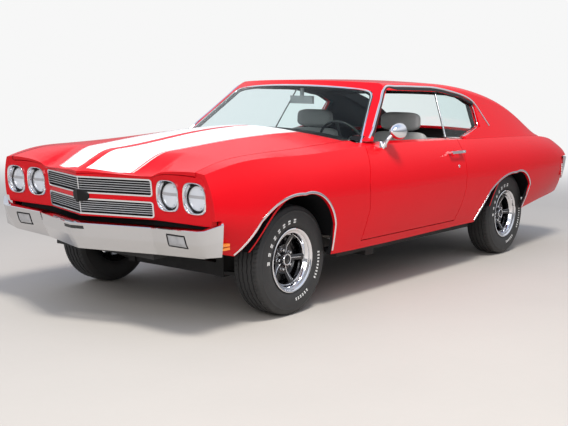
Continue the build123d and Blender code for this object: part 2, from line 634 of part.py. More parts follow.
# ---- bumpers
parking_face = make_face(Polyline(*PARKING_LAMP, close=True))
parking = both_sides(at(PARKING_LAMP_X, 0, 0) * extrude(Plane.YZ * parking_face, 200))
parking_seat = both_sides(at(PARKING_LAMP_X, 0, 0) * extrude(Plane.YZ * offset(parking_face, -SEAT_CLEARANCE), 200))
keep("parking_lamps", *[front_bumper & lamp for lamp in parking_seat])
keep("front_bumper", front_bumper - parking)
tail_room = both_sides(span_box((-2600, -2400), TAIL_LAMP_Y, TAIL_LAMP_Z))
lamp_y = (TAIL_LAMP_Y[0] + SEAT_CLEARANCE, TAIL_LAMP_Y[1] - SEAT_CLEARANCE)
lamp_z = (TAIL_LAMP_Z[0] + SEAT_CLEARANCE, TAIL_LAMP_Z[1] - SEAT_CLEARANCE)
tail_lamps = [rear_bumper & lamp for lamp in both_sides(span_box((-2600, -2400), lamp_y, lamp_z))]
side_lamp = span_box(SIDE_LAMP_X, (840, SIDE_LAMP_OUTER_Y), SIDE_LAMP_Z) - at(0, SEAT_CLEARANCE, 0) * body
keep("tail_lamps", *tail_lamps, *both_sides(side_lamp))
keep("rear_bumper", rear_bumper - tail_room)
tail_panel = span_box((-2436, -2412), (-900, 900), (BUMPER_RECESS_Z, 802)) + span_box(
    (BUMPER_RECESS_X, BUMPER_RECESS_X + 20), (-900, 900), (470, BUMPER_RECESS_Z)) + span_box(
    (-2436, BUMPER_RECESS_X + 20), (-900, 900), (BUMPER_RECESS_Z, BUMPER_RECESS_Z + 14))
posts = span_box((-2500, -2300), (360, 400), (620, 660))
posts = (posts + mirror(posts, about=Plane.XZ)) - rear_bumper_room
keep("tail_panel", (tail_panel & body_inside) + posts - quarter - mirror(quarter, about=Plane.XZ))

# ---- sills
sill = body & span_box((-313.7, 931.7), (DOOR_INNER_Y - 40, 1000), (SILL_BOTTOM_Z - 5, DOOR_BOTTOM_Z - PANEL_GAP))
keep("sills", *both_sides(sill))

# ---- floor: pressed pan with the shaft tunnel, and the trunk floor
half_floor = 699.7
floor_line = [(FIREWALL_X - 14 - SEAT_CLEARANCE, 560), (FIREWALL_X - 14 - SEAT_CLEARANCE, FLOOR_Z + 60), (720, FLOOR_Z), (-840, FLOOR_Z),
              (-940, 560), (-1720, 560), (-1800, 470), (-2275, 470)]
upper = [(x, z + FLOOR_THICKNESS) for x, z in reversed(floor_line)]
upper[-1] = (floor_line[0][0] - FLOOR_THICKNESS, 560)
upper[-2] = (floor_line[1][0] - FLOOR_THICKNESS, floor_line[1][1] + FLOOR_THICKNESS * 0.6)
pan = Plane.XZ * make_face(Polyline(*floor_line, *upper, close=True))
pan = at(0, half_floor, 0) * extrude(pan, 2 * half_floor)
pan = pan - span_box((-1760, -830), (570, 900), (400, 700)) - span_box((-1760, -830), (-900, -570), (400, 700))
wheel_spaces = wheel_space + mirror(wheel_space, about=Plane.XZ)
tunnel_outer = at(-860, 0, FLOOR_Z) * (Rot(0, 90, 0) * Cylinder(
    TUNNEL_RADIUS, FIREWALL_X + 860 - 22, align=(Align.CENTER, Align.CENTER, Align.MIN)))
tunnel_inner = at(-960, 0, FLOOR_Z) * (Rot(0, 90, 0) * Cylinder(
    TUNNEL_RADIUS - 12, FIREWALL_X + 1020, align=(Align.CENTER, Align.CENTER, Align.MIN)))
tunnel_outer = tunnel_outer & span_box((-900, 900), (-200, 200), (FLOOR_Z, 600))
keep("floor_pan", (pan + tunnel_outer) - tunnel_inner - at(0, 0, -1) * wheel_spaces)


# ---- wheels, built round their own axis with +Z outboard
def wheel_tyre():
    tread = TYRE_WIDTH / 2 - 24
    bead = RIM_WIDTH / 2 - 10
    bore = RIM_SEAT_RADIUS + SEAM
    lower = Polyline((RIM_LIP_RADIUS + 3, -bead), (bore, -bead), (bore, bead), (RIM_LIP_RADIUS + 3, bead))
    wall_up = ThreePointArc((RIM_LIP_RADIUS + 3, bead), (262, TYRE_WIDTH / 2), (312, tread + 12))
    wall_down = ThreePointArc((312, -tread - 12), (262, -TYRE_WIDTH / 2), (RIM_LIP_RADIUS + 3, -bead))
    crown = ThreePointArc((TYRE_RADIUS - 4, tread), (TYRE_RADIUS, 0), (TYRE_RADIUS - 4, -tread))
    shoulders = [Line((312, tread + 12), (TYRE_RADIUS - 4, tread)), Line((TYRE_RADIUS - 4, -tread), (312, -tread - 12))]
    return revolve(Plane.XZ * make_face([lower, wall_up, shoulders[0], crown, shoulders[1], wall_down]), Axis.Z)


def wheel_rim():
    edge = RIM_WIDTH / 2
    seat = RIM_SEAT_RADIUS
    outer = [(RIM_LIP_RADIUS, edge), (RIM_LIP_RADIUS, edge - 7), (seat, edge - 9), (seat, 58), (seat - 18, 44),
             (seat - 18, -58), (seat, -72), (seat, -edge + 9), (RIM_LIP_RADIUS, -edge + 7), (RIM_LIP_RADIUS, -edge)]
    inner = [(r - RIM_WALL, z) for r, z in reversed(outer[3:7])]
    barrel = Polyline(*outer, (seat - RIM_WALL, -edge + 9), *inner, (seat - RIM_WALL, edge - 9), close=True)
    barrel = revolve(Plane.XZ * make_face(barrel), Axis.Z)
    hub_z = SPOKE_HUB_Z
    thick = RIM_DISC_THICKNESS
    rim_radius = seat - 18 - RIM_WALL / 2
    disc = Polyline((HUB_BORE_RADIUS, hub_z), (SPOKE_HUB_RADIUS, hub_z), (rim_radius, SPOKE_RIM_Z),
                    (rim_radius, SPOKE_RIM_Z + thick), (SPOKE_HUB_RADIUS, hub_z + thick),
                    (HUB_BORE_RADIUS, hub_z + thick), close=True)
    disc = revolve(Plane.XZ * make_face(disc), Axis.Z)
    step = 360 / SPOKE_COUNT
    window_in = SPOKE_HUB_RADIUS + 10
    window_out = seat - 18 - RIM_WALL
    for i in range(SPOKE_COUNT):
        hand = step / 2
        near = SPOKE_WIDTH / 2 / sin(radians(hand))
        corner = (window_out * cos(radians(hand)) * 0.985, window_out * sin(radians(hand)) - SPOKE_WIDTH * 0.42)
        window = make_face([
            Line((near, 0), corner),
            ThreePointArc(corner, (window_out, 0), (corner[0], -corner[1])),
            Line((corner[0], -corner[1]), (near, 0))])
        window = Rot(0, 0, i * step) * (at(0, 0, -40) * extrude(window, 160))
        window = window - Cylinder(window_in, 400)
        disc = disc - window
    for i in range(5):
        disc = disc - Rot(0, 0, i * 72 + 36) * (at(LUG_CIRCLE_RADIUS, 0, 0) * Cylinder(LUG_HOLE_RADIUS, 200))
    return barrel + disc


def wheel_cap():
    z = SPOKE_HUB_Z + RIM_DISC_THICKNESS + SEAT_CLEARANCE
    rim = Polyline((0, z + HUB_CAP_LENGTH), (0, z), (HUB_CAP_RADIUS + 10, z), (HUB_CAP_RADIUS + 10, z + 6),
                   (HUB_CAP_RADIUS, z + HUB_CAP_LENGTH - 8))
    return revolve(Plane.XZ * make_face([rim, dome_arc(HUB_CAP_RADIUS, z + HUB_CAP_LENGTH - 8, 8)]), Axis.Z)


def wheel_drum():
    """Brake drum, bolted behind the wheel disc and turning with it."""
    face = SPOKE_HUB_Z - SEAT_CLEARANCE
    bore = SPINDLE_RADIUS + RUNNING_CLEARANCE
    outline = Polyline((bore, face), (DRUM_RADIUS, face), (DRUM_RADIUS, face - DRUM_WIDTH),
                       (DRUM_RADIUS - 10, face - DRUM_WIDTH), (DRUM_RADIUS - 10, face - 10),
                       (SPINDLE_RADIUS + 20, face - 10), (SPINDLE_RADIUS + 20, face - 44), (bore, face - 44), close=True)
    return revolve(Plane.XZ * make_face(outline), Axis.Z)


tyre = wheel_tyre()
rim_pieces = [wheel_rim(), wheel_drum(), wheel_cap()]
for end, axle_x in (("front", FRONT_AXLE_X), ("rear", REAR_AXLE_X)):
    for side, hand in (("left", 1), ("right", -1)):
        place = at(axle_x, hand * TRACK / 2, TYRE_RADIUS) * Rot(-90 * hand, 0, 0)
        keep(f"tyre_{end}_{side}", place * tyre)
        keep(f"rim_{end}_{side}", *[place * piece for piece in rim_pieces])

# ---- knuckles: spindle, upright and steering arm on the kingpin line
spindle_inner = KINGPIN_Y
spindle_outer = TRACK / 2 + SPOKE_HUB_Z - 12
backing = TRACK / 2 + SPOKE_HUB_Z - SEAT_CLEARANCE - DRUM_WIDTH - 6


def along_y(radius, y0, y1, x, z):
    return at(x, y0, z) * (Rot(-90, 0, 0) * Cylinder(radius, y1 - y0, align=(Align.CENTER, Align.CENTER, Align.MIN)))


knuckle = along_y(SPINDLE_RADIUS, spindle_inner, spindle_outer, FRONT_AXLE_X, TYRE_RADIUS)
knuckle += along_y(DRUM_RADIUS + 4, backing - 4, backing, FRONT_AXLE_X, TYRE_RADIUS)
knuckle += span_box((FRONT_AXLE_X - 22, FRONT_AXLE_X + 22), (KINGPIN_Y - 20, KINGPIN_Y + 20),
                    (TYRE_RADIUS - KNUCKLE_HALF, TYRE_RADIUS + KNUCKLE_HALF))
knuckle += span_box((FRONT_AXLE_X - 130, FRONT_AXLE_X), (KINGPIN_Y - 18, KINGPIN_Y + 2),
                    (TYRE_RADIUS - 60, TYRE_RADIUS - 38))
for side, name in zip(both_sides(knuckle), ("knuckle_left", "knuckle_right")):
    keep(name, side)

# ---- front control arms
arms = []
for z, thick in ((TYRE_RADIUS - KNUCKLE_HALF - SEAT_CLEARANCE - ARM_THICKNESS, ARM_THICKNESS),
                 (TYRE_RADIUS + KNUCKLE_HALF + SEAT_CLEARANCE, ARM_THICKNESS)):
    pivot = FRAME_FRONT_Y + FRAME_WIDTH / 2 + SEAT_CLEARANCE
    arm = make_face(Polyline((FRONT_AXLE_X - 26, KINGPIN_Y + 24), (FRONT_AXLE_X + 26, KINGPIN_Y + 24),
                             (FRONT_AXLE_X + 120, pivot), (FRONT_AXLE_X + 70, pivot), (FRONT_AXLE_X, KINGPIN_Y - 70),
                             (FRONT_AXLE_X - 70, pivot), (FRONT_AXLE_X - 120, pivot), close=True))
    arms += both_sides(plan_prism(arm, z, z + thick))

# ---- perimeter frame
rail_path = Polyline((FRAME_FRONT_X, FRAME_FRONT_Y, 425), (1130, FRAME_FRONT_Y, 425), (890, FRAME_MIDDLE_Y, FRAME_MIDDLE_Z),
                     (-880, FRAME_MIDDLE_Y, FRAME_MIDDLE_Z), (-1020, FRAME_REAR_Y, 506), (-1560, FRAME_REAR_Y, 506),
                     (-1700, FRAME_REAR_Y, 412), (-2290, FRAME_REAR_Y, 412))
rail_start = Plane(origin=(FRAME_FRONT_X, FRAME_FRONT_Y, 425), x_dir=(0, 1, 0), z_dir=(-1, 0, 0))
rail = sweep(rail_start * Rectangle(FRAME_WIDTH, FRAME_HEIGHT), path=rail_path, transition=Transition.RIGHT)
rails = rail + mirror(rail, about=Plane.XZ)
front_tower = span_box((FRONT_AXLE_X - 125, FRONT_AXLE_X + 125),
                       (FRAME_FRONT_Y - FRAME_WIDTH / 2, FRAME_FRONT_Y + FRAME_WIDTH / 2), (190, 480))
bracket = span_box((2185, 2370), (FRAME_FRONT_Y - 22, FRAME_FRONT_Y + 22), (440, 545)) - front_bumper_room
engine_foot = span_box((1300, 1380), (ENGINE_HALF - 90, FRAME_FRONT_Y), (430, 470))
frame = rails + front_tower + mirror(front_tower, about=Plane.XZ) + bracket + mirror(bracket, about=Plane.XZ)
frame = frame + engine_foot + mirror(engine_foot, about=Plane.XZ)
frame = frame + span_box((FRONT_AXLE_X - 110, FRONT_AXLE_X + 110), (-FRAME_FRONT_Y, FRAME_FRONT_Y), (190, 270))
frame = frame + span_box((2200, 2260), (-FRAME_FRONT_Y, FRAME_FRONT_Y), (378, 440))
frame = frame + span_box((420, 520), (-FRAME_MIDDLE_Y, FRAME_MIDDLE_Y), (204, 252))
frame = frame + span_box((-1510, -1450), (-FRAME_REAR_Y, FRAME_REAR_Y), (500, 550))
frame = frame + span_box((-2290, -2230), (-FRAME_REAR_Y, FRAME_REAR_Y), (368, 440))
keep("frame", frame)

# ---- engine with gearbox, drive shaft and rear axle
engine = fillet(span_box((1090, 1720), (-ENGINE_HALF, ENGINE_HALF), (470.3, 905)).edges().filter_by(Axis.X), 60)
gearbox = at(560, 0, FLOOR_Z) * (Rot(0, 90, 0) * Cone(75, 118, 540, align=(Align.CENTER, Align.CENTER, Align.MIN)))
bell = span_box((1060, 1100), (-118, 118), (FLOOR_Z - 60, 560))
keep("engine_block", engine + gearbox + bell)
shaft_start = REAR_AXLE_X + 190
shaft = at(shaft_start, 0, TYRE_RADIUS + 8) * (Rot(0, 90, 0) * Cylinder(
    36, 560 - shaft_start - SEAT_CLEARANCE, align=(Align.CENTER, Align.CENTER, Align.MIN)))
keep("drive_shaft", shaft)
axle = along_y(AXLE_TUBE_RADIUS, -backing, backing, REAR_AXLE_X, TYRE_RADIUS)
axle += at(REAR_AXLE_X, 0, TYRE_RADIUS) * Sphere(128)
axle += at(REAR_AXLE_X, 0, TYRE_RADIUS) * (Rot(0, 90, 0) * Cone(90, 50, 189.7, align=(
    Align.CENTER, Align.CENTER, Align.MIN)))
for hand in (1, -1):
    ends = along_y(DRUM_RADIUS + 4, backing - 4, backing, REAR_AXLE_X, TYRE_RADIUS)
    ends += along_y(SPINDLE_RADIUS, backing - 10, spindle_outer, REAR_AXLE_X, TYRE_RADIUS)
    axle += ends if hand == 1 else mirror(ends, about=Plane.XZ)
keep("rear_axle", axle)
spring = at(REAR_AXLE_X, FRAME_REAR_Y, TYRE_RADIUS) * Cylinder(
    SPRING_RADIUS, 506 - FRAME_HEIGHT / 2 - SEAT_CLEARANCE - TYRE_RADIUS, align=(Align.CENTER, Align.CENTER, Align.MIN))
spring = spring - at(0, 0, SEAT_CLEARANCE) * axle
trailing = side_cut(make_face(Polyline((REAR_AXLE_X - 20, 262), (REAR_AXLE_X - 20, 290), (-850, 318), (-850, 284),
                                       close=True)), 422, 456)
lug = span_box((REAR_AXLE_X - 25, REAR_AXLE_X + 25), (422, 456), (270, TYRE_RADIUS)) - at(0, 0, -SEAT_CLEARANCE) * axle
clevis = span_box((-850, -810), (422, FRAME_MIDDLE_Y - FRAME_WIDTH / 2 - SEAT_CLEARANCE), (284, 318))
keep("suspension", *arms, *both_sides(spring), *both_sides(trailing + lug + clevis))


# ---- exhaust, fuel tank and radiator
exhaust = []
for hand in (1, -1):
    route = FilletPolyline((1000, hand * 285, 288), (-860, hand * 285, 288), (-1070, hand * 370, 440),
                           (-1580, hand * 370, 440), (-1800, hand * 440, 330), (-2400, hand * 440, 330), radius=90)
    start = Plane(origin=route @ 0, z_dir=route % 0)
    pipe = sweep(start * Circle(EXHAUST_RADIUS), path=route)
    box = at(-420, hand * 285, 276) * (Rot(0, 90, 0) * Cylinder(MUFFLER_RADIUS, 460))
    hanger = at(-700, hand * 285, 326) * Box(10, 20, 2 * (FLOOR_Z - SEAT_CLEARANCE - 326))
    exhaust.append(pipe + box + hanger)
keep("exhaust", *exhaust)
tank = fillet(span_box((-2220, -1740), (-360, 360), (300, 470 - SEAT_CLEARANCE)).edges().filter_by(Axis.Z), 50)
keep("fuel_tank", tank)
radiator = span_box((2130, 2180), (-FRAME_FRONT_Y + 40, FRAME_FRONT_Y - 40), (400, 860)) \
    + span_box((2140, 2170), (-FRAME_FRONT_Y - 20, FRAME_FRONT_Y + 20), (425 + FRAME_HEIGHT / 2 + SEAT_CLEARANCE, 520))
keep("radiator", radiator)

# ---- seats
SEAT_Y = 405.0
SEAT_X = -140.0
seat_base = FilletPolyline((230, 372), (230, 520), (-190, 480), (-190, 372), radius=24, close=True)
seat_back = FilletPolyline((-110, 470), (-60, 600), (-180, 1010), (-250, 1010), (-250, 470), radius=22, close=True)
head_rest = FilletPolyline((-176, 1040), (-190, 1170), (-252, 1170), (-262, 1040), radius=20, close=True)
cushion = at(0, 250, 0) * extrude(Plane.XZ * make_face(seat_base), 500)
backrest = at(0, 240, 0) * extrude(Plane.XZ * make_face(seat_back), 480)
rest = at(0, 120, 0) * extrude(Plane.XZ * make_face(head_rest), 240)
stems = span_box((-225, -213), (-66, -54), (1000, 1050)) + span_box((-225, -213), (54, 66), (1000, 1050))
slides = span_box((-170, 210), (-200, -170), (FLOOR_Z + FLOOR_THICKNESS + SEAT_CLEARANCE, 380)) \
    + span_box((-170, 210), (170, 200), (FLOOR_Z + FLOOR_THICKNESS + SEAT_CLEARANCE, 380))
seat = cushion + backrest + rest + stems + slides
keep("front_seats", at(SEAT_X, SEAT_Y, 0) * seat, at(SEAT_X, -SEAT_Y, 0) * seat)
rear_base = FilletPolyline((-500, 360.3), (-500, 520), (-836, 480), (-836, 360.3), radius=20, close=True)
rear_back = FilletPolyline((-965, 575.3), (-900, 640), (-1060, 930), (-1180, 930), (-1110, 575.3), radius=20, close=True)
tunnel_space = at(-1200, 0, FLOOR_Z) * (Rot(0, 90, 0) * Cylinder(TUNNEL_RADIUS + SEAT_CLEARANCE, 2000))
rear_cushion = at(0, 590, 0) * extrude(Plane.XZ * make_face(rear_base), 1180) - tunnel_space
rear_back = at(0, 585, 0) * extrude(Plane.XZ * make_face(rear_back), 1170)
keep("rear_seat", rear_cushion, rear_back)
keep("parcel_shelf", span_box((-1560, -1176.0), (-584, 584), (900, 912)))

# ---- dashboard and steering
dash_line = FilletPolyline((689.7, 960), (570, 985), (500, 960), (520, 775), (600, 735), (689.7, 735), radius=16, close=True)
dash = at(0, 690, 0) * extrude(Plane.XZ * make_face(dash_line), 1380)
wheel_x, wheel_y, wheel_z = STEERING_CENTRE
lean = Rot(0, STEERING_ANGLE, 0)
column_place = at(wheel_x, wheel_y, wheel_z) * lean
column = column_place * (Rot(0, 90, 0) * at(0, 0, 40 + SEAT_CLEARANCE) * Cylinder(
    COLUMN_RADIUS, 470, align=(Align.CENTER, Align.CENTER, Align.MIN)))
column_hole = column_place * (Rot(0, 90, 0) * Cylinder(COLUMN_RADIUS + 1, 1300))
dash = dash - column_hole
column = column - span_box((FIREWALL_X - 14 - SEAT_CLEARANCE, 1500), (-900, 900), (200, 1000))
keep("dashboard", dash)
keep("steering_column", column)
ring = Torus(STEERING_WHEEL_RADIUS, STEERING_RING_RADIUS)
boss = at(0, 0, -10) * Cylinder(32, 60, align=(Align.CENTER, Align.CENTER, Align.MIN)) & at(0, 0, 15) * Box(90, 90, 50)
spokes = None
for angle in (180, 300, 60):
    arm = Rot(0, 0, angle) * (at(STEERING_WHEEL_RADIUS / 2 + 8, 0, 4) * Box(STEERING_WHEEL_RADIUS - 20, 26, 5))
    spokes = arm if spokes is None else spokes + arm
steering_wheel = ring + boss + spokes
keep("steering_wheel", column_place * (Rot(0, 90, 0) * steering_wheel))

# ---- door handles, mirrors
handle_bar = fillet((at((HANDLE_FRONT_X + HANDLE_REAR_X) / 2, 938, HANDLE_Z) * Box(
    HANDLE_FRONT_X - HANDLE_REAR_X, 12, 20)).edges().filter_by(Axis.Y), 9)
handle_posts = span_box((HANDLE_FRONT_X - 30, HANDLE_FRONT_X - 4), (880, 938), (HANDLE_Z - 8, HANDLE_Z + 8)) \
    + span_box((HANDLE_REAR_X + 4, HANDLE_REAR_X + 44), (880, 938), (HANDLE_Z - 9, HANDLE_Z + 9))
handle = (handle_bar + handle_posts) - body
for side, name in zip(both_sides(handle), ("handle_left", "handle_right")):
    keep(name, side)
head_profile = make_face([
    Line((0, 0), (MIRROR_RADIUS, 0)),
    ThreePointArc((MIRROR_RADIUS, 0), (MIRROR_RADIUS * 0.72, MIRROR_LENGTH * 0.62), (0, MIRROR_LENGTH)),
    Line((0, MIRROR_LENGTH), (0, 0))])
mirror_head = at(MIRROR_X - MIRROR_LENGTH * 0.5, MIRROR_Y, MIRROR_Z) * (
    Rot(0, 90, 0) * revolve(Plane.XZ * head_profile, Axis.Z))
stalk_line = FilletPolyline((MIRROR_X + 40, 858, 950), (MIRROR_X + 30, 890, 1010), (MIRROR_X, MIRROR_Y, MIRROR_Z), radius=30)
stalk = sweep(Plane(origin=stalk_line @ 0, z_dir=stalk_line % 0) * Circle(11), path=stalk_line)
mirror_foot = at(MIRROR_X + 40, 840, 975) * Box(90, 44, 40)
keep("mirror_left", (mirror_head + stalk + mirror_foot) - body)
glass_mirror = at(352, 0, 1247) * Box(18, 204, 56)
mirror_arm = span_box((345, 361), (-12, 12), (1260, 1390)) & cabin
keep("interior_mirror", glass_mirror + (mirror_arm - roof))

# ---- small lamps
markers = []
for z in MARKER_Z:
    strip = span_box((MARKER_REAR_X, MARKER_REAR_X + 60), (840, MARKER_OUTER_Y), (z - 7, z + 7)) - body
    markers += both_sides(strip)
keep("side_markers", *markers)


if __name__ == "__main__":
    os.makedirs("parts", exist_ok=True)
    for name, shape in parts.items():
        export_step(shape, f"parts/{name}.step")
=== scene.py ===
from cmath import phase, rect
from functools import partialmethod
from math import copysign, cos, pi, radians, sin, tau

import bmesh
import bpy
from mathutils import Matrix, Vector
from mathutils.bvhtree import BVHTree


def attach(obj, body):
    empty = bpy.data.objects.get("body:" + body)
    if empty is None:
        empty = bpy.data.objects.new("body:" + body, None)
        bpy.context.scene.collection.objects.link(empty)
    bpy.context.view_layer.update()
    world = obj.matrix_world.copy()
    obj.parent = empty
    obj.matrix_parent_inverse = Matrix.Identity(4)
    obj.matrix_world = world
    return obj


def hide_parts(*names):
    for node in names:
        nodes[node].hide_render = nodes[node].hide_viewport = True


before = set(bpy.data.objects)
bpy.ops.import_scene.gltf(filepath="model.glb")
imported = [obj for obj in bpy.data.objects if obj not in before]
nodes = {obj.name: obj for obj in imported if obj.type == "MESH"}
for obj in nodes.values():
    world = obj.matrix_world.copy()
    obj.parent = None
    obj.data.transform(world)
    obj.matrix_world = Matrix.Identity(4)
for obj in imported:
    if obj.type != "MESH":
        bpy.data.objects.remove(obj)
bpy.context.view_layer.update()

# ---- layout, in metres
FRONT_AXLE_X = 1.55
REAR_AXLE_X = -1.295
HALF_TRACK = 0.762
TYRE_RADIUS = 0.33
WHEELS = (
    ("front_left", FRONT_AXLE_X, 1), ("front_right", FRONT_AXLE_X, -1),
    ("rear_left", REAR_AXLE_X, 1), ("rear_right", REAR_AXLE_X, -1),
)
HANDS = ((1, "left"), (-1, "right"))
MM = 0.001
# Front face of the body, a shallow V in plan that leans back
FACE_OUTER_X = 2.289
FACE_CENTRE_X = 2.442
FACE_V_Y = 0.45
FACE_Z = 0.75
FACE_LEAN = 0.118
# Outer face of the side glass: y at a height, and how far it leans in per metre
GLASS_Y, GLASS_Z, GLASS_LEAN = 0.828, 0.94, 0.467


def face_x(y, z):
    lip = (FACE_CENTRE_X - FACE_OUTER_X) * max(0, 1 - abs(y) / FACE_V_Y)
    return FACE_OUTER_X + lip + (z - FACE_Z) * FACE_LEAN


# ---- materials
M = {}


def add_node(tree, kind, sockets=None, **settings):
    """Node whose sockets, given by name or index, take a value or a link."""
    node = tree.nodes.new("ShaderNode" + kind)
    for name, value in settings.items():
        setattr(node, name, value)
    for key, value in (sockets or {}).items():
        if isinstance(value, bpy.types.NodeSocket):
            tree.links.new(value, node.inputs[key])
        elif value is not None:
            node.inputs[key].default_value = value
    return node


def shader(name, colour, second=None, scale=6, rough=(0.3, 0.4), bump=0, bump_scale=200,
           rough_scale=20, **sockets):
    """Material with mottled colour, uneven roughness and a fine bump, kept in M."""
    material = M[name] = bpy.data.materials.new(name)
    material.use_nodes = True
    tree = material.node_tree
    bsdf = tree.nodes["Principled BSDF"]
    place = add_node(tree, "TexCoord").outputs["Object"]

    def noise(size, detail):
        return add_node(tree, "TexNoise", {"Vector": place, "Scale": size, "Detail": detail}).outputs["Fac"]

    second = second or [c * 0.85 for c in colour]
    mottled = add_node(tree, "Mix", {"A": (*colour, 1), "B": (*second, 1), "Factor": noise(scale, 4)},
                       data_type="RGBA")
    tree.links.new(mottled.outputs["Result"], bsdf.inputs["Base Color"])
    least, most = rough
    uneven = add_node(tree, "MapRange", {"Value": noise(rough_scale, 6), "To Min": least, "To Max": most})
    tree.links.new(uneven.outputs["Result"], bsdf.inputs["Roughness"])
    if bump:
        relief = add_node(tree, "Bump", {"Height": noise(bump_scale, 3), "Strength": bump, "Distance": MM})
        tree.links.new(relief.outputs["Normal"], bsdf.inputs["Normal"])
    for socket, value in sockets.items():
        bsdf.inputs[socket.replace("_", " ")].default_value = value
    return material


class Signal:
    """Number worked out by nodes; operators join it to numbers and other signals."""

    def __init__(self, socket):
        self.socket = socket

    def join(self, operation, other=None):
        other = other.socket if isinstance(other, Signal) else other
        node = add_node(self.socket.id_data, "Math", {0: self.socket, 1: other}, operation=operation)
        return Signal(node.outputs["Value"])


for symbol, operation in (("abs", "ABSOLUTE"), ("add", "ADD"), ("sub", "SUBTRACT"), ("mul", "MULTIPLY"),
                          ("lt", "LESS_THAN"), ("gt", "GREATER_THAN"), ("or", "MAXIMUM")):
    setattr(Signal, f"__{symbol}__", partialmethod(Signal.join, operation))


class Spot:
    """Position and normal, in object space, of the point that a material shades."""

    def __init__(self, material):
        self.tree = material.node_tree
        coord = add_node(self.tree, "TexCoord")
        self.point, self.normal = coord.outputs["Object"], coord.outputs["Normal"]
        split = add_node(self.tree, "SeparateXYZ", {"Vector": self.point})
        self.x, self.y, self.z = (Signal(split.outputs[axis]) for axis in "XYZ")

    def vector(self, operation, first, second=None, third=None):
        node = add_node(self.tree, "VectorMath", {0: first, 1: second, 2: third}, operation=operation)
        is_number = operation in ("LENGTH", "DOT_PRODUCT")
        return Signal(node.outputs["Value"]) if is_number else node.outputs["Vector"]

    def from_axle(self, axle_x):
        flat = self.vector("MULTIPLY_ADD", self.point, (1, 0, 1), (-axle_x, 0, -TYRE_RADIUS))
        return self.vector("LENGTH", flat)


def masked(material, mask, colour, rough=None, coat=None, metallic=None):
    """Where the mask is 1, the material turns to another colour and gloss."""
    tree = material.node_tree
    for name, value, kind in (("Base Color", (*colour, 1), "RGBA"), ("Roughness", rough, "FLOAT"),
                              ("Coat Weight", coat, "FLOAT"), ("Metallic", metallic, "FLOAT")):
        if value is None:
            continue
        socket = tree.nodes["Principled BSDF"].inputs[name]
        old = socket.links[0].from_socket if socket.links else socket.default_value
        mix = add_node(tree, "Mix", {"Factor": mask.socket, "A": old, "B": value}, data_type=kind)
        tree.links.new(mix.outputs["Result"], socket)
    return material


WHITE = (0.86, 0.86, 0.85)
# Painted shade: the near-black that stands for shade inside the body, under the roof and in the wheelhouses
INSIDE_SHADE_BLACK = (0.01, 0.01, 0.011)
PINSTRIPE_GAP = 0.01
PINSTRIPE_WIDTH = 0.005


def striped(material, start_x, end_x, outer, inner, sweep_back):
    """Two wide white stripes with a thin line outside each; edges as half widths at the front and rear."""
    at = Spot(material)

    def along(front, rear):
        node = add_node(at.tree, "MapRange", {"Value": at.x.socket, "From Min": end_x, "From Max": start_x,
                                              "To Min": rear, "To Max": front})
        return Signal(node.outputs["Result"])

    across = abs(at.y)
    edge = along(*outer)
    wide = (across < edge) * (across > along(*inner))
    thin = (across < edge + (PINSTRIPE_GAP + PINSTRIPE_WIDTH)) * (across > edge + PINSTRIPE_GAP)
    return masked(material, (wide | thin) * (at.x < across * -sweep_back + start_x), WHITE)


SIDE_Z = 0.62
INWARD, SIDEWAYS = -0.3, 0.5
WELL_RADIUS, WELL_Y, WELL_TOP_Z = 0.47, 0.926, 0.8


def shade_hollow_side(material, centre_z=SIDE_Z, wheel_x=None, facing=None, colour=INSIDE_SHADE_BLACK):
    """Painted shade: black on faces that look inward, and in the wheelhouse round an axle at wheel_x."""
    at = Spot(material)
    outward = facing
    if not facing:
        outward = at.vector("MULTIPLY_ADD", at.point, (0, 1, 1), (0, 0, -centre_z))
        outward = at.vector("NORMALIZE", outward)
    turned = at.vector("DOT_PRODUCT", at.normal, outward)
    mask = turned < INWARD
    if wheel_x is not None:
        near = at.from_axle(wheel_x) < WELL_RADIUS
        mask |= near * (abs(at.y) < WELL_Y) * (at.z < WELL_TOP_Z) * (turned < SIDEWAYS)
    return masked(material, mask, colour, rough=0.75, coat=0)


def body_paint(name):
    return shader(name, (0.66, 0.0035, 0.01), (0.6, 0.003, 0.008), 2, (0.2, 0.26), 0.012, 900, 3,
                  Coat_Weight=0.26, Coat_Roughness=0.04, Specular_IOR_Level=0.05)


WHEEL_CENTRE_RADIUS = 0.1515


def wheel_finish(name, axle_x):
    """Polished barrel and black centre, by distance from the axle."""
    at = Spot(shader(name, (0.74, 0.74, 0.75), rough=(0.06, 0.12), Metallic=1))
    dark = (at.from_axle(axle_x) < WHEEL_CENTRE_RADIUS) | (abs(at.y) < HALF_TRACK)
    masked(M[name], dark, (0.009, 0.009, 0.01), rough=0.22, metallic=0)


BAR_EDGE = 0.0085


def grille_finish(name):
    """Black grille whose bars have grey front edges."""
    at = Spot(shader(name, (0.004, 0.004, 0.004), rough=(0.4, 0.55), bump=0.05, Specular_IOR_Level=0.1))
    across = abs(at.y).join("MINIMUM", FACE_V_Y)
    lip = across * (-(FACE_CENTRE_X - FACE_OUTER_X) / FACE_V_Y)
    face = lip + (at.z - FACE_Z) * FACE_LEAN + (FACE_CENTRE_X - BAR_EDGE)
    masked(M[name], at.x > face, (0.42, 0.42, 0.43), rough=0.3)


ROOT_TOP_Z, ROOT_HALF_Y, ROOT_REAR_X = 1.03, 0.772, 0.62
LINING_Y, LINING_TOP_Z, LINING_FRONT_X, LINING_REAR_X = 0.8, 1.29, 0.6, -1


def shade_root(material):
    """Painted shade, near-black, at the roots of the windshield pillars and on what lies inboard of the side
    glass.
    """
    at = Spot(material)
    root = (at.z < ROOT_TOP_Z) * (abs(at.y) < ROOT_HALF_Y) * (at.x > ROOT_REAR_X)
    inside = abs(at.y) < (at.z - GLASS_Z) * -GLASS_LEAN + LINING_Y
    inside *= (at.z < LINING_TOP_Z) * (at.x < LINING_FRONT_X) * (at.x > LINING_REAR_X)
    masked(material, root | inside, INSIDE_SHADE_BLACK, rough=0.6, coat=0)


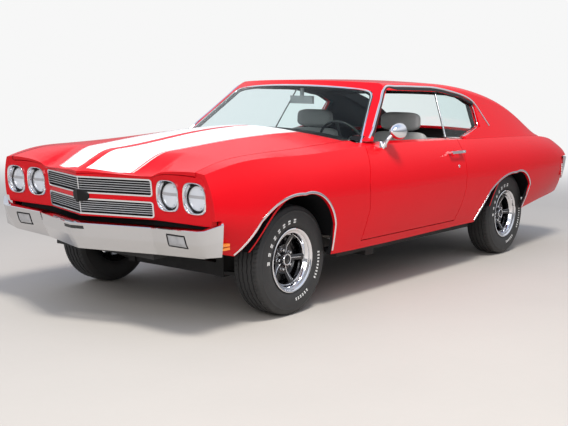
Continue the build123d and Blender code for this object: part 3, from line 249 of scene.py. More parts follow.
SLOT_HALF_Y, SLOT_Z, SLOT_HALF_Z, SLOT_REAR_X = 0.083, 0.55, 0.0095, 2.3


def shade_slot(material):
    """Painted shade: a dark slot at the middle of the front bumper's face, where the slot's opening lies in
    shade.
    """
    at = Spot(material)
    slot = (abs(at.y) < SLOT_HALF_Y) * (abs(at.z - SLOT_Z) < SLOT_HALF_Z) * (at.x > SLOT_REAR_X)
    masked(material, slot, (0.02, 0.02, 0.02), rough=0.5, metallic=0)


LENS_BAND_Z, LENS_BAND_HALF = 0.76, 0.0085


def banded_lens(material):
    """Greyer band across the glass, a little above its middle."""
    band = abs(Spot(material).z - LENS_BAND_Z) < LENS_BAND_HALF
    masked(material, band, (0.56, 0.55, 0.56))


MIRROR_TURN = 0.8


def silvered_back(material):
    """Mirror on the face that looks to the rear."""
    at = Spot(material)
    face = at.vector("DOT_PRODUCT", at.normal, (-1, 0, 0)) > MIRROR_TURN
    masked(material, face, (0.85, 0.86, 0.88), rough=0.03, metallic=1)


# Each body paint gets painted shade where it looks inward, and fenders and quarters also in their wheelhouses
for paint, axle_x in (("sill_paint", None), ("fender_paint", FRONT_AXLE_X), ("quarter_paint", REAR_AXLE_X),
                      ("door_paint", None)):
    shade_hollow_side(body_paint(paint), wheel_x=axle_x)
# The roof's inward faces, pillar roots and inside get painted shade, slightly less black than the rest
shade_root(shade_hollow_side(body_paint("roof_paint"), 1.02, colour=(0.016, 0.016, 0.017)))
shade_hollow_side(body_paint("face_paint"), facing=(1, 0, 0))
shade_hollow_side(body_paint("tail_paint"), facing=(-1, 0, 0))
shade_hollow_side(striped(body_paint("hood_paint"), 2.425, 0.9, (0.296, 0.395), (0.036, 0.028), 0.34))
shade_hollow_side(striped(body_paint("lid_paint"), -1.6, -2.4, (0.395, 0.36), (0.028, 0.026), 0))
wheel_finish("front_wheel_metal", FRONT_AXLE_X)
wheel_finish("rear_wheel_metal", REAR_AXLE_X)
grille_finish("grille_black")
silvered_back(shader("mirror_housing", (0.45, 0.46, 0.47), rough=(0.2, 0.3)))
shader("mirror_glass", (0.85, 0.86, 0.88), rough=(0.02, 0.04), Metallic=1)
shader("chrome", (0.84, 0.84, 0.86), (0.8, 0.8, 0.82), rough=(0.03, 0.07), Metallic=1)
shader("satin_chrome", (0.66, 0.66, 0.67), rough=(0.16, 0.24), Metallic=1)
for bumper in ("bumper_chrome", "front_bumper_chrome"):
    shader(bumper, (0.66, 0.66, 0.67), (0.6, 0.6, 0.61), 3, (0.05, 0.1), Metallic=1)
shade_slot(M["front_bumper_chrome"])
# Numbers after the colours: scale of the mottling, least and most roughness, bump and its scale
shader("black_trim", (0.006, 0.006, 0.006), (0.01, 0.01, 0.01), 6, (0.4, 0.55), 0.1, Specular_IOR_Level=0.2)
shader("gloss_black", (0.01, 0.01, 0.011), (0.016, 0.016, 0.017), 6, (0.08, 0.16), Coat_Weight=0.6)
shader("window_seal", (0.01, 0.01, 0.01), rough=(0.45, 0.6), bump=0.15)
shader("rubber", (0.018, 0.018, 0.019), (0.03, 0.029, 0.028), 14, (0.5, 0.7), 0.2, 500)
shader("underbody", (0.018, 0.018, 0.019), (0.03, 0.028, 0.026), 9, (0.6, 0.85), 0.4, 160)
shader("bare_steel", (0.3, 0.29, 0.28), (0.2, 0.18, 0.16), 12, (0.35, 0.6), 0.2, Metallic=0.9)
shader("engine_paint", (0.3, 0.06, 0.015), (0.22, 0.05, 0.015), 14, (0.4, 0.6), 0.35)
shader("trim_vinyl", (0.2, 0.195, 0.19), (0.17, 0.165, 0.16), 30, (0.4, 0.55), 0.3, 700)
shader("seat_vinyl", (0.3, 0.295, 0.288), (0.34, 0.335, 0.328), 30, (0.38, 0.52), 0.35, 650)
shader("dash_vinyl", (0.016, 0.016, 0.017), rough=(0.45, 0.6), bump=0.3, bump_scale=700)
shader("carpet", (0.02, 0.02, 0.021), (0.035, 0.035, 0.036), 80, (0.9, 1), 0.8, 900)
for glass, clear, faint in (("window_glass", (0.88, 0.965, 0.965), (0.87, 0.955, 0.955)),
                            ("tinted_glass", (0.9, 0.95, 0.965), (0.89, 0.94, 0.955))):
    shader(glass, clear, faint, 6, (0, 0.01), Transmission_Weight=1, IOR=1.15)
banded_lens(shader("clear_lens", (0.99, 0.99, 1), (0.8, 0.84, 0.92), 24, (0.02, 0.05),
                   Transmission_Weight=0.4, IOR=1.3, Coat_Weight=1))
shader("lamp_reflector", (0.93, 0.94, 0.96), (0.86, 0.88, 0.92), 18, (0.22, 0.34), Metallic=0.9)
shader("parking_lens", (0.5, 0.5, 0.51), (0.16, 0.16, 0.17), 22, (0.1, 0.2), Coat_Weight=0.8)
shader("amber_lens", (0.85, 0.26, 0.02), (0.75, 0.2, 0.02), 6, (0.12, 0.2), Coat_Weight=0.5)
shader("red_lens", (0.42, 0.008, 0.01), (0.35, 0.006, 0.008), 6, (0.12, 0.2), Coat_Weight=0.8)
shader("raised_white", (0.8, 0.8, 0.78), (0.72, 0.72, 0.7), 40, (0.5, 0.65))

# Each row: a finish and the CAD nodes that wear it
CAD_FINISH = """
fender_paint fenders
quarter_paint quarter_panels
door_paint door_left door_right
roof_paint roof
sill_paint deck_panel sills
face_paint header_panel
tail_paint tail_panel
hood_paint hood
lid_paint trunk_lid
front_bumper_chrome front_bumper
bumper_chrome rear_bumper
chrome grille_frames handle_left handle_right headlamp_bezels mirror_left
grille_black grille_bars
black_trim cowl radiator parcel_shelf
clear_lens headlamps
parking_lens parking_lamps
amber_lens side_markers
red_lens tail_lamps
window_glass fixed_glass
tinted_glass door_glass_right
underbody frame suspension rear_axle knuckle_left knuckle_right
carpet floor_pan
bare_steel exhaust fuel_tank drive_shaft
engine_paint engine_block
seat_vinyl front_seats rear_seat
dash_vinyl dashboard steering_column steering_wheel
mirror_housing interior_mirror
rubber tyre_front_left tyre_front_right tyre_rear_left tyre_rear_right
front_wheel_metal rim_front_left rim_front_right
rear_wheel_metal rim_rear_left rim_rear_right
"""
for row in CAD_FINISH.split("\n")[1:-1]:
    finish, *node_names = row.split()
    for node_name in node_names:
        mesh = nodes[node_name].data
        mesh.materials.clear()
        mesh.materials.append(M[finish])


# ---- building blocks
def make_piece(name, mesh, finish, sharp=40, slot=None, replaces=(), body="body"):
    """Shaded object that rides a body; edges sharper than so many degrees stay crisp."""
    mesh.shade_smooth()
    mesh.set_sharp_from_angle(angle=radians(sharp))
    mesh.materials.append(M[finish])
    piece = bpy.data.objects.new(name, mesh)
    bpy.context.collection.objects.link(piece)
    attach(piece, body)
    if replaces:
        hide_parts(*replaces)
    return piece


class Shape:
    """Vertices and faces that gather into one piece."""

    def __init__(self):
        self.verts = []
        self.faces = []

    def add(self, verts, faces, place=None):
        start = len(self.verts)
        self.verts += [place @ Vector(v) if place else Vector(v) for v in verts]
        self.faces += [tuple(start + i for i in face) for face in faces]
        return self

    def mirrored(self):
        """The same shape on both sides of the car."""
        start = len(self.verts)
        self.verts += [Vector((v.x, -v.y, v.z)) for v in self.verts]
        self.faces += [tuple(start + i for i in reversed(face)) for face in self.faces]
        return self

    def piece(self, name, finish, *settings, **more):
        mesh = bpy.data.meshes.new(name)
        mesh.from_pydata(self.verts, [], self.faces)
        builder = bmesh.new()
        builder.from_mesh(mesh)
        bmesh.ops.recalc_face_normals(builder, faces=builder.faces)
        builder.to_mesh(mesh)
        builder.free()
        return make_piece(name, mesh, finish, *settings, **more)


def grid_faces(rows, columns, wrap_rows=False, wrap_columns=True):
    """Quads of a grid of vertices stored row by row."""
    faces = []
    for i in range(rows if wrap_rows else rows - 1):
        for j in range(columns if wrap_columns else columns - 1):
            here, above = i * columns, (i + 1) % rows * columns
            after = (j + 1) % columns
            faces.append((here + j, here + after, above + after, above + j))
    return faces


def tube_faces(rows, columns, closed):
    """Grid that wraps across; it closes on itself, or ends in two flat faces."""
    faces = grid_faces(rows, columns, wrap_rows=closed)
    if not closed:
        faces += [tuple(range(columns)), tuple(range((rows - 1) * columns, rows * columns))]
    return faces


def plate(front, back, rows, columns):
    """Closed plate between two grids of points that are laid out alike."""
    faces = grid_faces(rows, columns, wrap_columns=False)
    size = rows * columns
    last = size - columns
    rim = [*range(columns), *range(2 * columns - 1, size, columns), *range(size - 2, last - 1, -1),
           *range(last - columns, 0, -columns)]
    faces += [tuple(size + i for i in face) for face in faces]
    faces += [(a, b, size + b, size + a) for a, b in zip(rim, rim[1:] + rim[:1])]
    return [*front, *back], faces


def sweep(path, section, ups, closed=False):
    """Section of (side, up) points in mm drawn along a path; the ups give its outward direction."""
    verts = []
    count = len(path)
    for i, (point, up) in enumerate(zip(path, ups)):
        before = path[i - 1] if closed or i else path[0]
        after = path[(i + 1) % count] if closed or i < count - 1 else path[-1]
        along = (after - before).normalized()
        side = up.cross(along).normalized()
        lift = along.cross(side)
        verts += [point + (side * u + lift * v) * MM for u, v in section]
    return verts, tube_faces(count, len(section), closed)


def two_sided(half):
    """Section that is alike on both sides of its middle, from one half, foot first."""
    return [(-u, v) for u, v in half] + list(reversed(half))


def circle(count):
    """Cosine and sine of evenly spaced angles."""
    return [(cos(tau * k / count), sin(tau * k / count)) for k in range(count)]


def lathe(profile, count=64, closed=False):
    """Profile of (radius, height) points in mm turned round local Z."""
    verts = [(r * MM * c, r * MM * s, h * MM) for r, h in profile for c, s in circle(count)]
    return verts, tube_faces(len(profile), count, closed)


def block(size, bevel=0.002, taper=(1, 1)):
    """Box round the origin with bevelled edges; the taper narrows its top."""
    builder = bmesh.new()
    bmesh.ops.create_cube(builder, size=1)
    for vert in builder.verts:
        narrow = (*taper, 1) if vert.co.z > 0 else (1, 1, 1)
        vert.co = Vector(c * s * n for c, s, n in zip(vert.co, size, narrow))
    bmesh.ops.bevel(builder, geom=builder.edges[:], offset=bevel, segments=2, affect="EDGES", profile=0.5)
    return mesh_parts(builder)


def mesh_parts(builder):
    """Vertices and faces of a finished bmesh."""
    builder.verts.index_update()
    verts = [v.co.copy() for v in builder.verts]
    faces = [tuple(v.index for v in face.verts) for face in builder.faces]
    builder.free()
    return verts, faces


def move(x, y, z):
    return Matrix.Translation((x, y, z))


def facing(x, y, z, axis="Y", turn=pi / 2):
    """Place whose local Z points along another axis."""
    return move(x, y, z) @ Matrix.Rotation(turn, 4, axis)


def between(a, b, count):
    """Evenly spaced points from a towards b, without b itself."""
    return [tuple(p + (q - p) * k / count for p, q in zip(a, b)) for k in range(count)]


def read_off(table, place):
    """Value at a place, by straight lines between the (place, value) rows."""
    for (p0, v0), (p1, v1) in zip(table, table[1:]):
        if p0 <= place <= p1:
            return v0 + (v1 - v0) * (place - p0) / (p1 - p0)


def curve(points, per=8):
    """Smooth curve through the points."""
    points = [Vector(p) for p in points]
    ends = [2 * points[0] - points[1], *points, 2 * points[-1] - points[-2]]
    out = []
    for a, b, c, d in zip(ends, ends[1:], ends[2:], ends[3:]):
        for t in (k / per for k in range(per)):
            bend = (2 * a - 5 * b + 4 * c - d) * t ** 2 + (3 * b - a - 3 * c + d) * t ** 3
            out.append(0.5 * (2 * b + (c - a) * t + bend))
    return out + [points[-1]]


def arc_through(p, q, r, count=14):
    """Arc of (x, z), under half a circle, from p through q to r, by complex numbers."""
    p, q, r = (complex(*point) for point in (p, q, r))
    w = (r - p) / (q - p)
    centre = p + (q - p) * (w - abs(w) ** 2) / (2j * w.imag)
    turn = phase((r - centre) / (p - centre))
    arc = [centre + (p - centre) * rect(1, turn * k / count) for k in range(count + 1)]
    return [(point.real, point.imag) for point in arc]


def surface(*names):
    """Search tree over the faces of some CAD nodes."""
    builder = bmesh.new()
    for name in names:
        builder.from_mesh(nodes[name].data)
    tree = BVHTree.FromBMesh(builder)
    builder.free()
    return tree


def from_side(tree, x, z, hand=1):
    """Where a line from the side at x, z meets the surface: point and outward normal."""
    place, normal, _, _ = tree.ray_cast(Vector((x, hand * 1.5, z)), Vector((0, -hand, 0)))
    if place is None:
        return None
    return place, -normal if normal.y * hand < 0 else normal


def side_path(tree, points, hand=1):
    """Points in (x, z) thrown sideways onto a surface: points and normals."""
    hits = [hit for hit in (from_side(tree, x, z, hand) for x, z in points) if hit]
    return [hit[0] for hit in hits], [hit[1] for hit in hits]


# ---- wheels
TREAD_HALF = 0.0785
TREAD_CROWN = 0.004
TREAD_INSET = 0.0006
SHOULDER = 0.0585
CROSS_CUT = 0.0045
ZIGZAG = 0.0011
GROOVES = (0.048, 0.017, -0.017, -0.048)
# A groove across its middle, columns: place across, depth
GROOVE_SECTION = ((0.0048, 0), (0.0036, 0.007), (-0.0036, 0.007), (-0.0048, 0))
TREAD_COLUMNS = 288
# Columns: radius, height above the tyre's middle plane
SIDEWALL = (
    (0.179, 0.085), (0.1935, 0.0855), (0.196, 0.0885), (0.203, 0.0905), (0.205, 0.0925), (0.22, 0.098),
    (0.24, 0.1012), (0.262, 0.1022), (0.28, 0.101), (0.293, 0.0982), (0.295, 0.099), (0.299, 0.0976),
    (0.3, 0.096), (0.31, 0.0918), (0.318, 0.087), (0.3225, 0.083),
)


def tyre_mesh():
    # Rows across the tread: place across, depth, 1 where the groove wanders, 1 where cuts cross
    tread = [(TREAD_HALF, 0, 0, 1), (SHOULDER + 0.0015, 0, 0, 1), (SHOULDER, 0, 0, 0)]
    tread += [(middle + across, depth, 1, 0) for middle in GROOVES for across, depth in GROOVE_SECTION]
    tread += [(-across, *rest) for across, *rest in reversed(tread[:3])]
    rows = [[(radius, height)] * TREAD_COLUMNS for radius, height in SIDEWALL]
    for across, depth, wander, cuts in tread:
        radius = TYRE_RADIUS - TREAD_INSET - TREAD_CROWN * (across / TREAD_HALF) ** 2 - depth
        rows.append([(radius - (CROSS_CUT if cuts and k % 4 == 0 else 0),
                      across + ZIGZAG * (abs(k % 8 - 4) - 2) * wander) for k in range(TREAD_COLUMNS)])
    rows += [[(radius, -height)] * TREAD_COLUMNS for radius, height in reversed(SIDEWALL)]
    verts = [(r * c, r * s, h) for row in rows for (c, s), (r, h) in zip(circle(TREAD_COLUMNS), row)]
    return verts, grid_faces(len(rows), TREAD_COLUMNS, wrap_rows=True)


# Raised white marks on the sidewall, columns: first angle, step, count, inner and outer radius, width
TYRE_MARKS = ((3, 12.6, 8, 0.224, 0.248, 5), (175, 4.6, 9, 0.238, 0.254, 2.2),
              (236, 5.4, 6, 0.23, 0.246, 2.4))
MARK_RISE, MARK_ROOT = 0.0008, -0.001
MARK_HALVES = ((0, 0.4), (0.6, 1))


def mark_mesh(angle, width, inner, outer):
    """Curved raised bar on the sidewall."""
    turns = [radians(angle + width * (k / 3 - 0.5)) for k in range(4)]
    front, back = ([(radius * cos(turn), radius * sin(turn), read_off(SIDEWALL, radius) + lift)
                    for radius in (inner, (inner + outer) / 2, outer) for turn in turns]
                   for lift in (MARK_RISE, MARK_ROOT))
    return plate(front, back, 3, 4)


SPOKE_COUNT = 5
HUB_FACE = 0.022
SPOKE_END_FACE = 0.054
SPOKE_START, SPOKE_END = 0.078, 0.149
LUG_CIRCLE = 0.0603
RIDGE_START, RIDGE_END = 0.04, 0.1495
RIDGE_RISE, RIDGE_FALL = 0.0085, 0.0035
RIDGE_SECTION = two_sided([(3, -8.5), (2.2, -1.2), (0.9, 0)])
BODY_START = 0.05
SPOKE_HALF, SPOKE_FLARE = 0.0165, 0.004
# Section of a spoke, columns: share of its half width, height above the disc
SPOKE_SECTION = two_sided([(1, -0.002), (0.8, 0.0035), (0.35, 0.0055)])
LUG_PROFILE = ((11.5, 0), (11.5, 3), (9.8, 4), (9.8, 15), (8, 18), (3, 19.5))
# Turned pieces, columns: piece, finish, slot, points round, closed, distance from the axle, height, profile
WHEEL_TURNINGS = (
    ("trim_ring", "chrome", "wheel_metal", 96, True, 0, 0, (
        (150, 54.5), (153, 56), (156, 62), (159, 74), (164, 80), (174, 83.5), (177, 87), (180, 92.5),
        (185, 96.2), (189.5, 96.8), (192.5, 95), (193, 90), (190, 88), (179, 86), (171.5, 79), (162, 70),
        (158.5, 56), (150, 52.5))),
    ("cap_ring", "chrome", "wheel_metal", 48, True, 0, 0, (
        (33.5, 30), (35, 34), (35, 52), (33.5, 54.5), (30, 54.8), (28.5, 53.5), (28.5, 50))),
    ("valve", "window_seal", None, 10, False, 0.152, 0.052, (
        (3.5, 0), (3.5, 20), (4.5, 21), (4.5, 30), (3.5, 32))),
)


def disc_face(radius):
    """Outer face of the wheel disc above the hub plane."""
    rise = max(0, radius - SPOKE_START) / (SPOKE_END - SPOKE_START)
    return HUB_FACE + (SPOKE_END_FACE - HUB_FACE) * rise


def ridge_mesh():
    """Bright ridge along the middle of a spoke that lies along X."""
    path = []
    for k in range(9):
        radius = RIDGE_START + (RIDGE_END - RIDGE_START) * k / 8
        path.append(Vector((radius, 0, disc_face(radius) + RIDGE_RISE - RIDGE_FALL * k / 8)))
    return sweep(path, RIDGE_SECTION, [Vector((0, 0, 1))] * len(path))


def spoke_mesh():
    """Raised body of a spoke along X, dished on both flanks of the ridge."""
    verts = []
    for k in range(7):
        radius = BODY_START + (SPOKE_END - BODY_START) * k / 6
        half = SPOKE_HALF + SPOKE_FLARE * (k / 6) ** 2
        verts += [(radius, side * half, disc_face(radius) + lift) for side, lift in SPOKE_SECTION]
    return verts, grid_faces(7, len(SPOKE_SECTION), wrap_columns=False)


for wheel, axle_x, hand in WHEELS:
    place = facing(axle_x, hand * HALF_TRACK, TYRE_RADIUS, "X", -hand * pi / 2)
    body = f"wheel_{wheel}"
    tyre = Shape().add(*tyre_mesh(), place)
    tyre.piece(f"tread_tyre_{wheel}", "rubber", 40, "tyre_rubber", (f"tyre_{wheel}",), body=body)
    marks = Shape()
    for first, step, count, inner, outer, width in TYRE_MARKS:
        for k in range(count):
            for low, high in MARK_HALVES:
                reach = outer - inner
                bar = mark_mesh(-hand * (first + k * step), width, inner + reach * low, inner + reach * high)
                marks.add(*bar, place)
    marks.piece(f"tyre_marks_{wheel}", "raised_white", body=body)
    ridges, spokes, lugs = Shape(), Shape(), Shape()
    for k in range(SPOKE_COUNT):
        angle = tau * (k + 0.5) / SPOKE_COUNT
        spoke_place = place @ Matrix.Rotation(angle, 4, "Z")
        ridges.add(*ridge_mesh(), spoke_place)
        spokes.add(*spoke_mesh(), spoke_place)
        angle += pi / SPOKE_COUNT
        spot = move(LUG_CIRCLE * cos(angle), LUG_CIRCLE * sin(angle), HUB_FACE)
        lugs.add(*lathe(LUG_PROFILE, 6), place @ spot)
    ridges.piece(f"spoke_ridges_{wheel}", "chrome", 30, "wheel_metal", body=body)
    spokes.piece(f"spokes_{wheel}", "gloss_black", 60, "wheel_metal", body=body)
    lugs.piece(f"lug_nuts_{wheel}", "chrome", 30, "wheel_metal", body=body)
    for name, finish, slot, count, closed, out, height, profile in WHEEL_TURNINGS:
        turned = Shape().add(*lathe(profile, count, closed), place @ move(out, 0, height))
        turned.piece(f"{name}_{wheel}", finish, 30, slot, body=body)

# ---- nose of the hood
# How far the lip lies lower than on the plain loft, columns: distance from the middle, drop
LIP_DROP = ((0, 0.022), (0.05, 0.03), (0.1, 0.043), (0.16, 0.055), (0.225, 0.063), (0.3, 0.069),
            (0.38, 0.074), (0.455, 0.075), (0.5, 0.053), (0.55, 0.04), (0.62, 0.027), (0.7, 0.014),
            (0.785, 0), (1.1, 0))
LIP_Z, LIP_INSET, LIP_REACH = 0.88, 0.02, 0.27
LIP_RISE = (0.836, 0.925)
# Planes that cut the faces up before they bend, across x, y and z
NOSE_CUTS = ([2.02 + 0.03 * k for k in range(15)],
             [hand * y for y in (*(row[0] for row in LIP_DROP[:-1]), 0.42, 0.475, 0.74) for hand in (1, -1)],
             [LIP_RISE[0], 0.86, 0.885, LIP_RISE[1]])


def lip_drop(x, y, z):
    """Drop of a point of the nose: full along the lip, none behind it and at the grille."""
    ahead = min(1, max(0, 1 - (face_x(y, LIP_Z) - x - LIP_INSET) / LIP_REACH))
    rise = min(1, max(0, (z - LIP_RISE[0]) / (LIP_RISE[1] - LIP_RISE[0])))
    return read_off(LIP_DROP, abs(y)) * ahead ** 2 * (3 - 2 * ahead) * rise


for node_name, name, body, finish in (("hood", "hood_panel", "hood", "hood_paint"),
                                      ("header_panel", "header_skin", "body", "face_paint")):
    builder = bmesh.new()
    builder.from_mesh(nodes[node_name].data)
    for axis, cuts in enumerate(NOSE_CUTS):
        normal = Vector(1 if i == axis else 0 for i in range(3))
        for cut in cuts:
            geometry = builder.verts[:] + builder.edges[:] + builder.faces[:]
            bmesh.ops.bisect_plane(builder, geom=geometry, dist=1e-6, plane_co=normal * cut, plane_no=normal)
    for vert in builder.verts:
        vert.co.z -= lip_drop(*vert.co)
    mesh = bpy.data.meshes.new(name)
    builder.to_mesh(mesh)
    builder.free()
    make_piece(name, mesh, finish, 24, "red_paint", (node_name,), body=body)

# ---- mouldings, seals and frames
BRIGHT = ("chrome", 30, "bright_chrome")
PLATED = ("chrome", 40, "bright_chrome")
# Wheel openings from the axle, columns: x, z
FRONT_ARCH = ((-0.298, 0.25), (-0.308, 0.52), (-0.215, 0.668), (0, 0.722), (0.23, 0.697), (0.395, 0.605),
              (0.65, 0.25))
REAR_ARCH = ((-0.14, 0.25), (-0.27, 0.56), (-0.185, 0.642), (0, 0.668), (0.25, 0.64), (0.448, 0.552),
             (0.74, 0.25))
ARCH_GROWTH = 0.004
WIDEST_Y = 0.951
ARCH_SECTION = ((1, -14), (1, 1), (-1.5, 3.2), (-8, 3.4), (-13.5, 1.6), (-14.5, -3), (-2, -4), (-1.5, -14))


def strip(path, section, ups, closed=False):
    """Section drawn along a path; the ups are one direction or one for each point."""
    ups = [ups] * len(path) if isinstance(ups, Vector) else ups
    return Shape().add(*sweep(path, section, ups, closed))


def arch_line(points, axle_x):
    """Edge of a wheel opening in (x, z), from its rear foot to its front foot."""
    p = [(x + axle_x, z) for x, z in points]
    arcs = arc_through(*p[1:4])[:-1] + arc_through(*p[3:6])
    return between(p[0], p[1], 10) + arcs + between(p[5], p[6], 10)[1:] + p[6:]


def grown(points, amount):
    """The line moved outward from the opening it bounds."""
    out = []
    for before, (x, z), after in zip(points[:1] + points, points, points[1:] + points[-1:]):
        along = (Vector(after) - Vector(before)).normalized() * amount
        out.append((x - along.y, z + along.x))
    return out


for end, node, arch, axle_x in (("front", "fenders", FRONT_ARCH, FRONT_AXLE_X),
                                ("rear", "quarter_panels", REAR_ARCH, REAR_AXLE_X)):
    path, ups = side_path(surface(node), grown(arch_line(arch, axle_x), ARCH_GROWTH))
    moulding = strip(path, ARCH_SECTION, ups)
    for vert in moulding.verts:
        vert.y = min(vert.y, WIDEST_Y)
    moulding.mirrored().piece(f"arch_moulding_{end}", *BRIGHT)

# Drip rail, and the rubber under it that the side glass closes against; columns: x, z
DRIP_LINE = ((0.708, 0.992), (0.56, 1.112), (0.4, 1.246), (0.275, 1.344), (0.12, 1.352), (-0.15, 1.35),
             (-0.43, 1.342), (-0.76, 1.298), (-0.905, 1.256), (-0.965, 1.205), (-1.01, 1.125), (-1.052, 1.05))
SEAL_LINE = ((0.64, 1.022), (0.52, 1.124), (0.38, 1.243), (0.268, 1.334), (0.1, 1.333), (-0.15, 1.33),
             (-0.425, 1.324), (-0.64, 1.294), (-0.76, 1.277), (-0.935, 1.222))
SEAL_LIFT = 0.002
SEAL_TRIES = (0.006, 0.014)
DRIP_SECTION = ((-7.5, -2), (-7.5, 5.5), (-4, 8.5), (3, 8.5), (7.5, 5), (7.5, -2))
SEAL_SECTION = ((-13, -16), (-13, 2), (-9, 4), (9, 4), (13, 1), (13, -16))
roof_skin = surface("roof")
for hand, side in HANDS:
    path, ups = side_path(roof_skin, curve(DRIP_LINE, 6), hand)
    ups = [(up + Vector((0, hand, 0.4))).normalized() for up in ups]
    strip(path, DRIP_SECTION, ups).piece(f"drip_rail_{side}", *BRIGHT)
    path = []
    for x, z in curve(SEAL_LINE, 6):
        z += SEAL_LIFT
        hits = [from_side(roof_skin, x, z + lift, hand) for lift in SEAL_TRIES]
        path += [Vector((x, hit[0].y, z)) for hit in hits if hit][:1]
    seal = strip(path, SEAL_SECTION, Vector((0, hand, 0.45)).normalized())
    seal.piece(f"window_seal_{side}", "window_seal", 30)

# Bright surround of the windshield, on the front faces of the pillars and of the roof's edge
SHIELD_X, SHIELD_Z, SHIELD_BOW, SHIELD_RAKE = 0.983, 0.987, 0.41975, 1.45
SHIELD_SECTION = ((-8, -2), (-8, 3), (-4.5, 5.5), (5, 5.5), (8.5, 3), (8.5, -2))
# Columns: y, z
SHIELD_LINE = [(0.8 - (z - 0.93) * 0.489, z) for z in (0.985, 1.04, 1.1, 1.16, 1.22, 1.27)]
SHIELD_LINE += [(0.608, 1.3), (0.575, 1.317), (0.51, 1.3275), (0.4, 1.3375), (0.2, 1.3475), (0, 1.3505)]
shield = [Vector((SHIELD_X - SHIELD_BOW * y * y - SHIELD_RAKE * (z - SHIELD_Z), y, z))
          for y, z in SHIELD_LINE]
shield = curve(shield + [Vector((p.x, -p.y, p.z)) for p in reversed(shield[:-1])], 5)
shield_up = Vector((1, 0, 0.69)).normalized()
ups = [(shield_up + Vector((0, 0.45 * p.y, 0))).normalized() for p in shield]
strip(shield, SHIELD_SECTION, ups).piece("windshield_surround", *BRIGHT)
INNER_X, INNER_Y, INNER_SIDE, INNER_TOP = -0.004, 0.013, -0.004, -0.012
inner = []
for p in shield:
    inward = INNER_Y * ((p.y < -0.3) - (p.y > 0.3))
    inner.append(p + Vector((INNER_X, inward, INNER_TOP if abs(p.y) < 0.6 else INNER_SIDE)))
round_section = [(6.5 * c, 6.5 * s) for c, s in circle(8)]
strip(inner, round_section, ups).piece("windshield_seal", "window_seal")


def on_glass(x, z, out=0):
    """Point on the outer face of the side glass."""
    return Vector((x, GLASS_Y - (z - GLASS_Z) * GLASS_LEAN + out, z))


FRAME_SECTION = two_sided([(6.5, -6), (6.5, 2), (4.5, 4)])
THIN_SECTION = [(u * 0.7, v * 0.8) for u, v in FRAME_SECTION]
# Columns: x, z
QUARTER_REAR = ((-0.76, 1.266), (-0.9, 1.223), (-0.94, 1.204), (-0.936, 1.16), (-0.918, 1.09),
                (-0.9, 1.052), (-0.86, 1.036), (-0.74, 1.008), (-0.6, 0.984))
glass_out = Vector((0, 1, GLASS_LEAN)).normalized()
path = [on_glass(-0.322 - (z - 0.93) * 0.277, z) for z in (0.985, 1.08, 1.18, 1.28, 1.318)]
channel = strip(path, FRAME_SECTION, glass_out).mirrored()
channel.piece("quarter_glass_channels", "satin_chrome", 30, "bright_chrome")
path = curve([on_glass(x, z, -0.001) for x, z in QUARTER_REAR], 4)
strip(path, THIN_SECTION, glass_out).mirrored().piece("quarter_glass_frames", *BRIGHT)

# ---- headlamps
LAMP_X, LAMP_Y, LAMP_Z = 2.266, (0.564, 0.764), 0.751
BEZEL_HALF = (0.083, 0.088)
BEZEL_POWER = 3.4
BEZEL_INNER = 0.0745
# From the outer edge inward, columns: how round and small the ring is, height above the face
BEZEL_ROWS = ((0, -0.004), (0, 0.006), (0.06, 0.01), (0.22, 0.0125), (0.45, 0.011), (0.62, 0.004),
              (0.8, -0.01), (0.94, -0.024), (1, -0.03))
BEZEL_FACE_Y = 0.6
# Turned parts, columns: piece, finish, slot, replaced nodes, points round, closed, profile
LAMP_TURNINGS = (
    ("headlamp_glass", "clear_lens", "lamp_glass", ("headlamps",), 64, False, (
        (65.5, -6), (65.5, 0), (61.5, 4.5), (53, 8.5), (38, 12), (19, 14), (1, 14.5))),
    ("headlamp_reflectors", "lamp_reflector", None, (), 64, False, (
        (65, -7), (62, -16), (53, -30), (40, -42), (24, -50), (10, -53.5), (1, -54), (1, -56), (41, -45),
        (55, -32), (65, -15))),
    ("headlamp_retainers", "satin_chrome", None, (), 64, True, (
        (64, 1), (64.5, 3.2), (66.5, 3.6), (68, 2), (68, -4), (65.5, -4))),
    # Black wells behind the bezels: painted shade for the deep funnels round the lamps
    ("headlamp_shade_wells", "black_trim", None, (), 48, True, (
        (65.5, -6), (76.5, -5), (77.5, -60), (65.5, -60))),
    ("headlamp_shields", "satin_chrome", None, (), 24, False, (
        (10, -50), (12, -38), (10.5, -30), (6, -26), (0.5, -25))),
)
NUB_PROFILE = ((3.4, 0), (3.4, 3.5), (2.2, 5), (0.4, 5.4))


def bezel_mesh(y, count=72):
    """Bright ring, squarish outside and round inside, that funnels back to the lamp."""
    verts = []
    for blend, rise in BEZEL_ROWS:
        for c, s in circle(count):
            reach = abs(c / BEZEL_HALF[0]) ** BEZEL_POWER + abs(s / BEZEL_HALF[1]) ** BEZEL_POWER
            radius = reach ** (-1 / BEZEL_POWER) * (1 - blend) + BEZEL_INNER * blend
            z = LAMP_Z + radius * s
            x = face_x(BEZEL_FACE_Y, z) * (1 - blend) + FACE_OUTER_X * blend + rise
            verts.append((x, y + radius * c, z))
    return verts, grid_faces(len(BEZEL_ROWS), count)


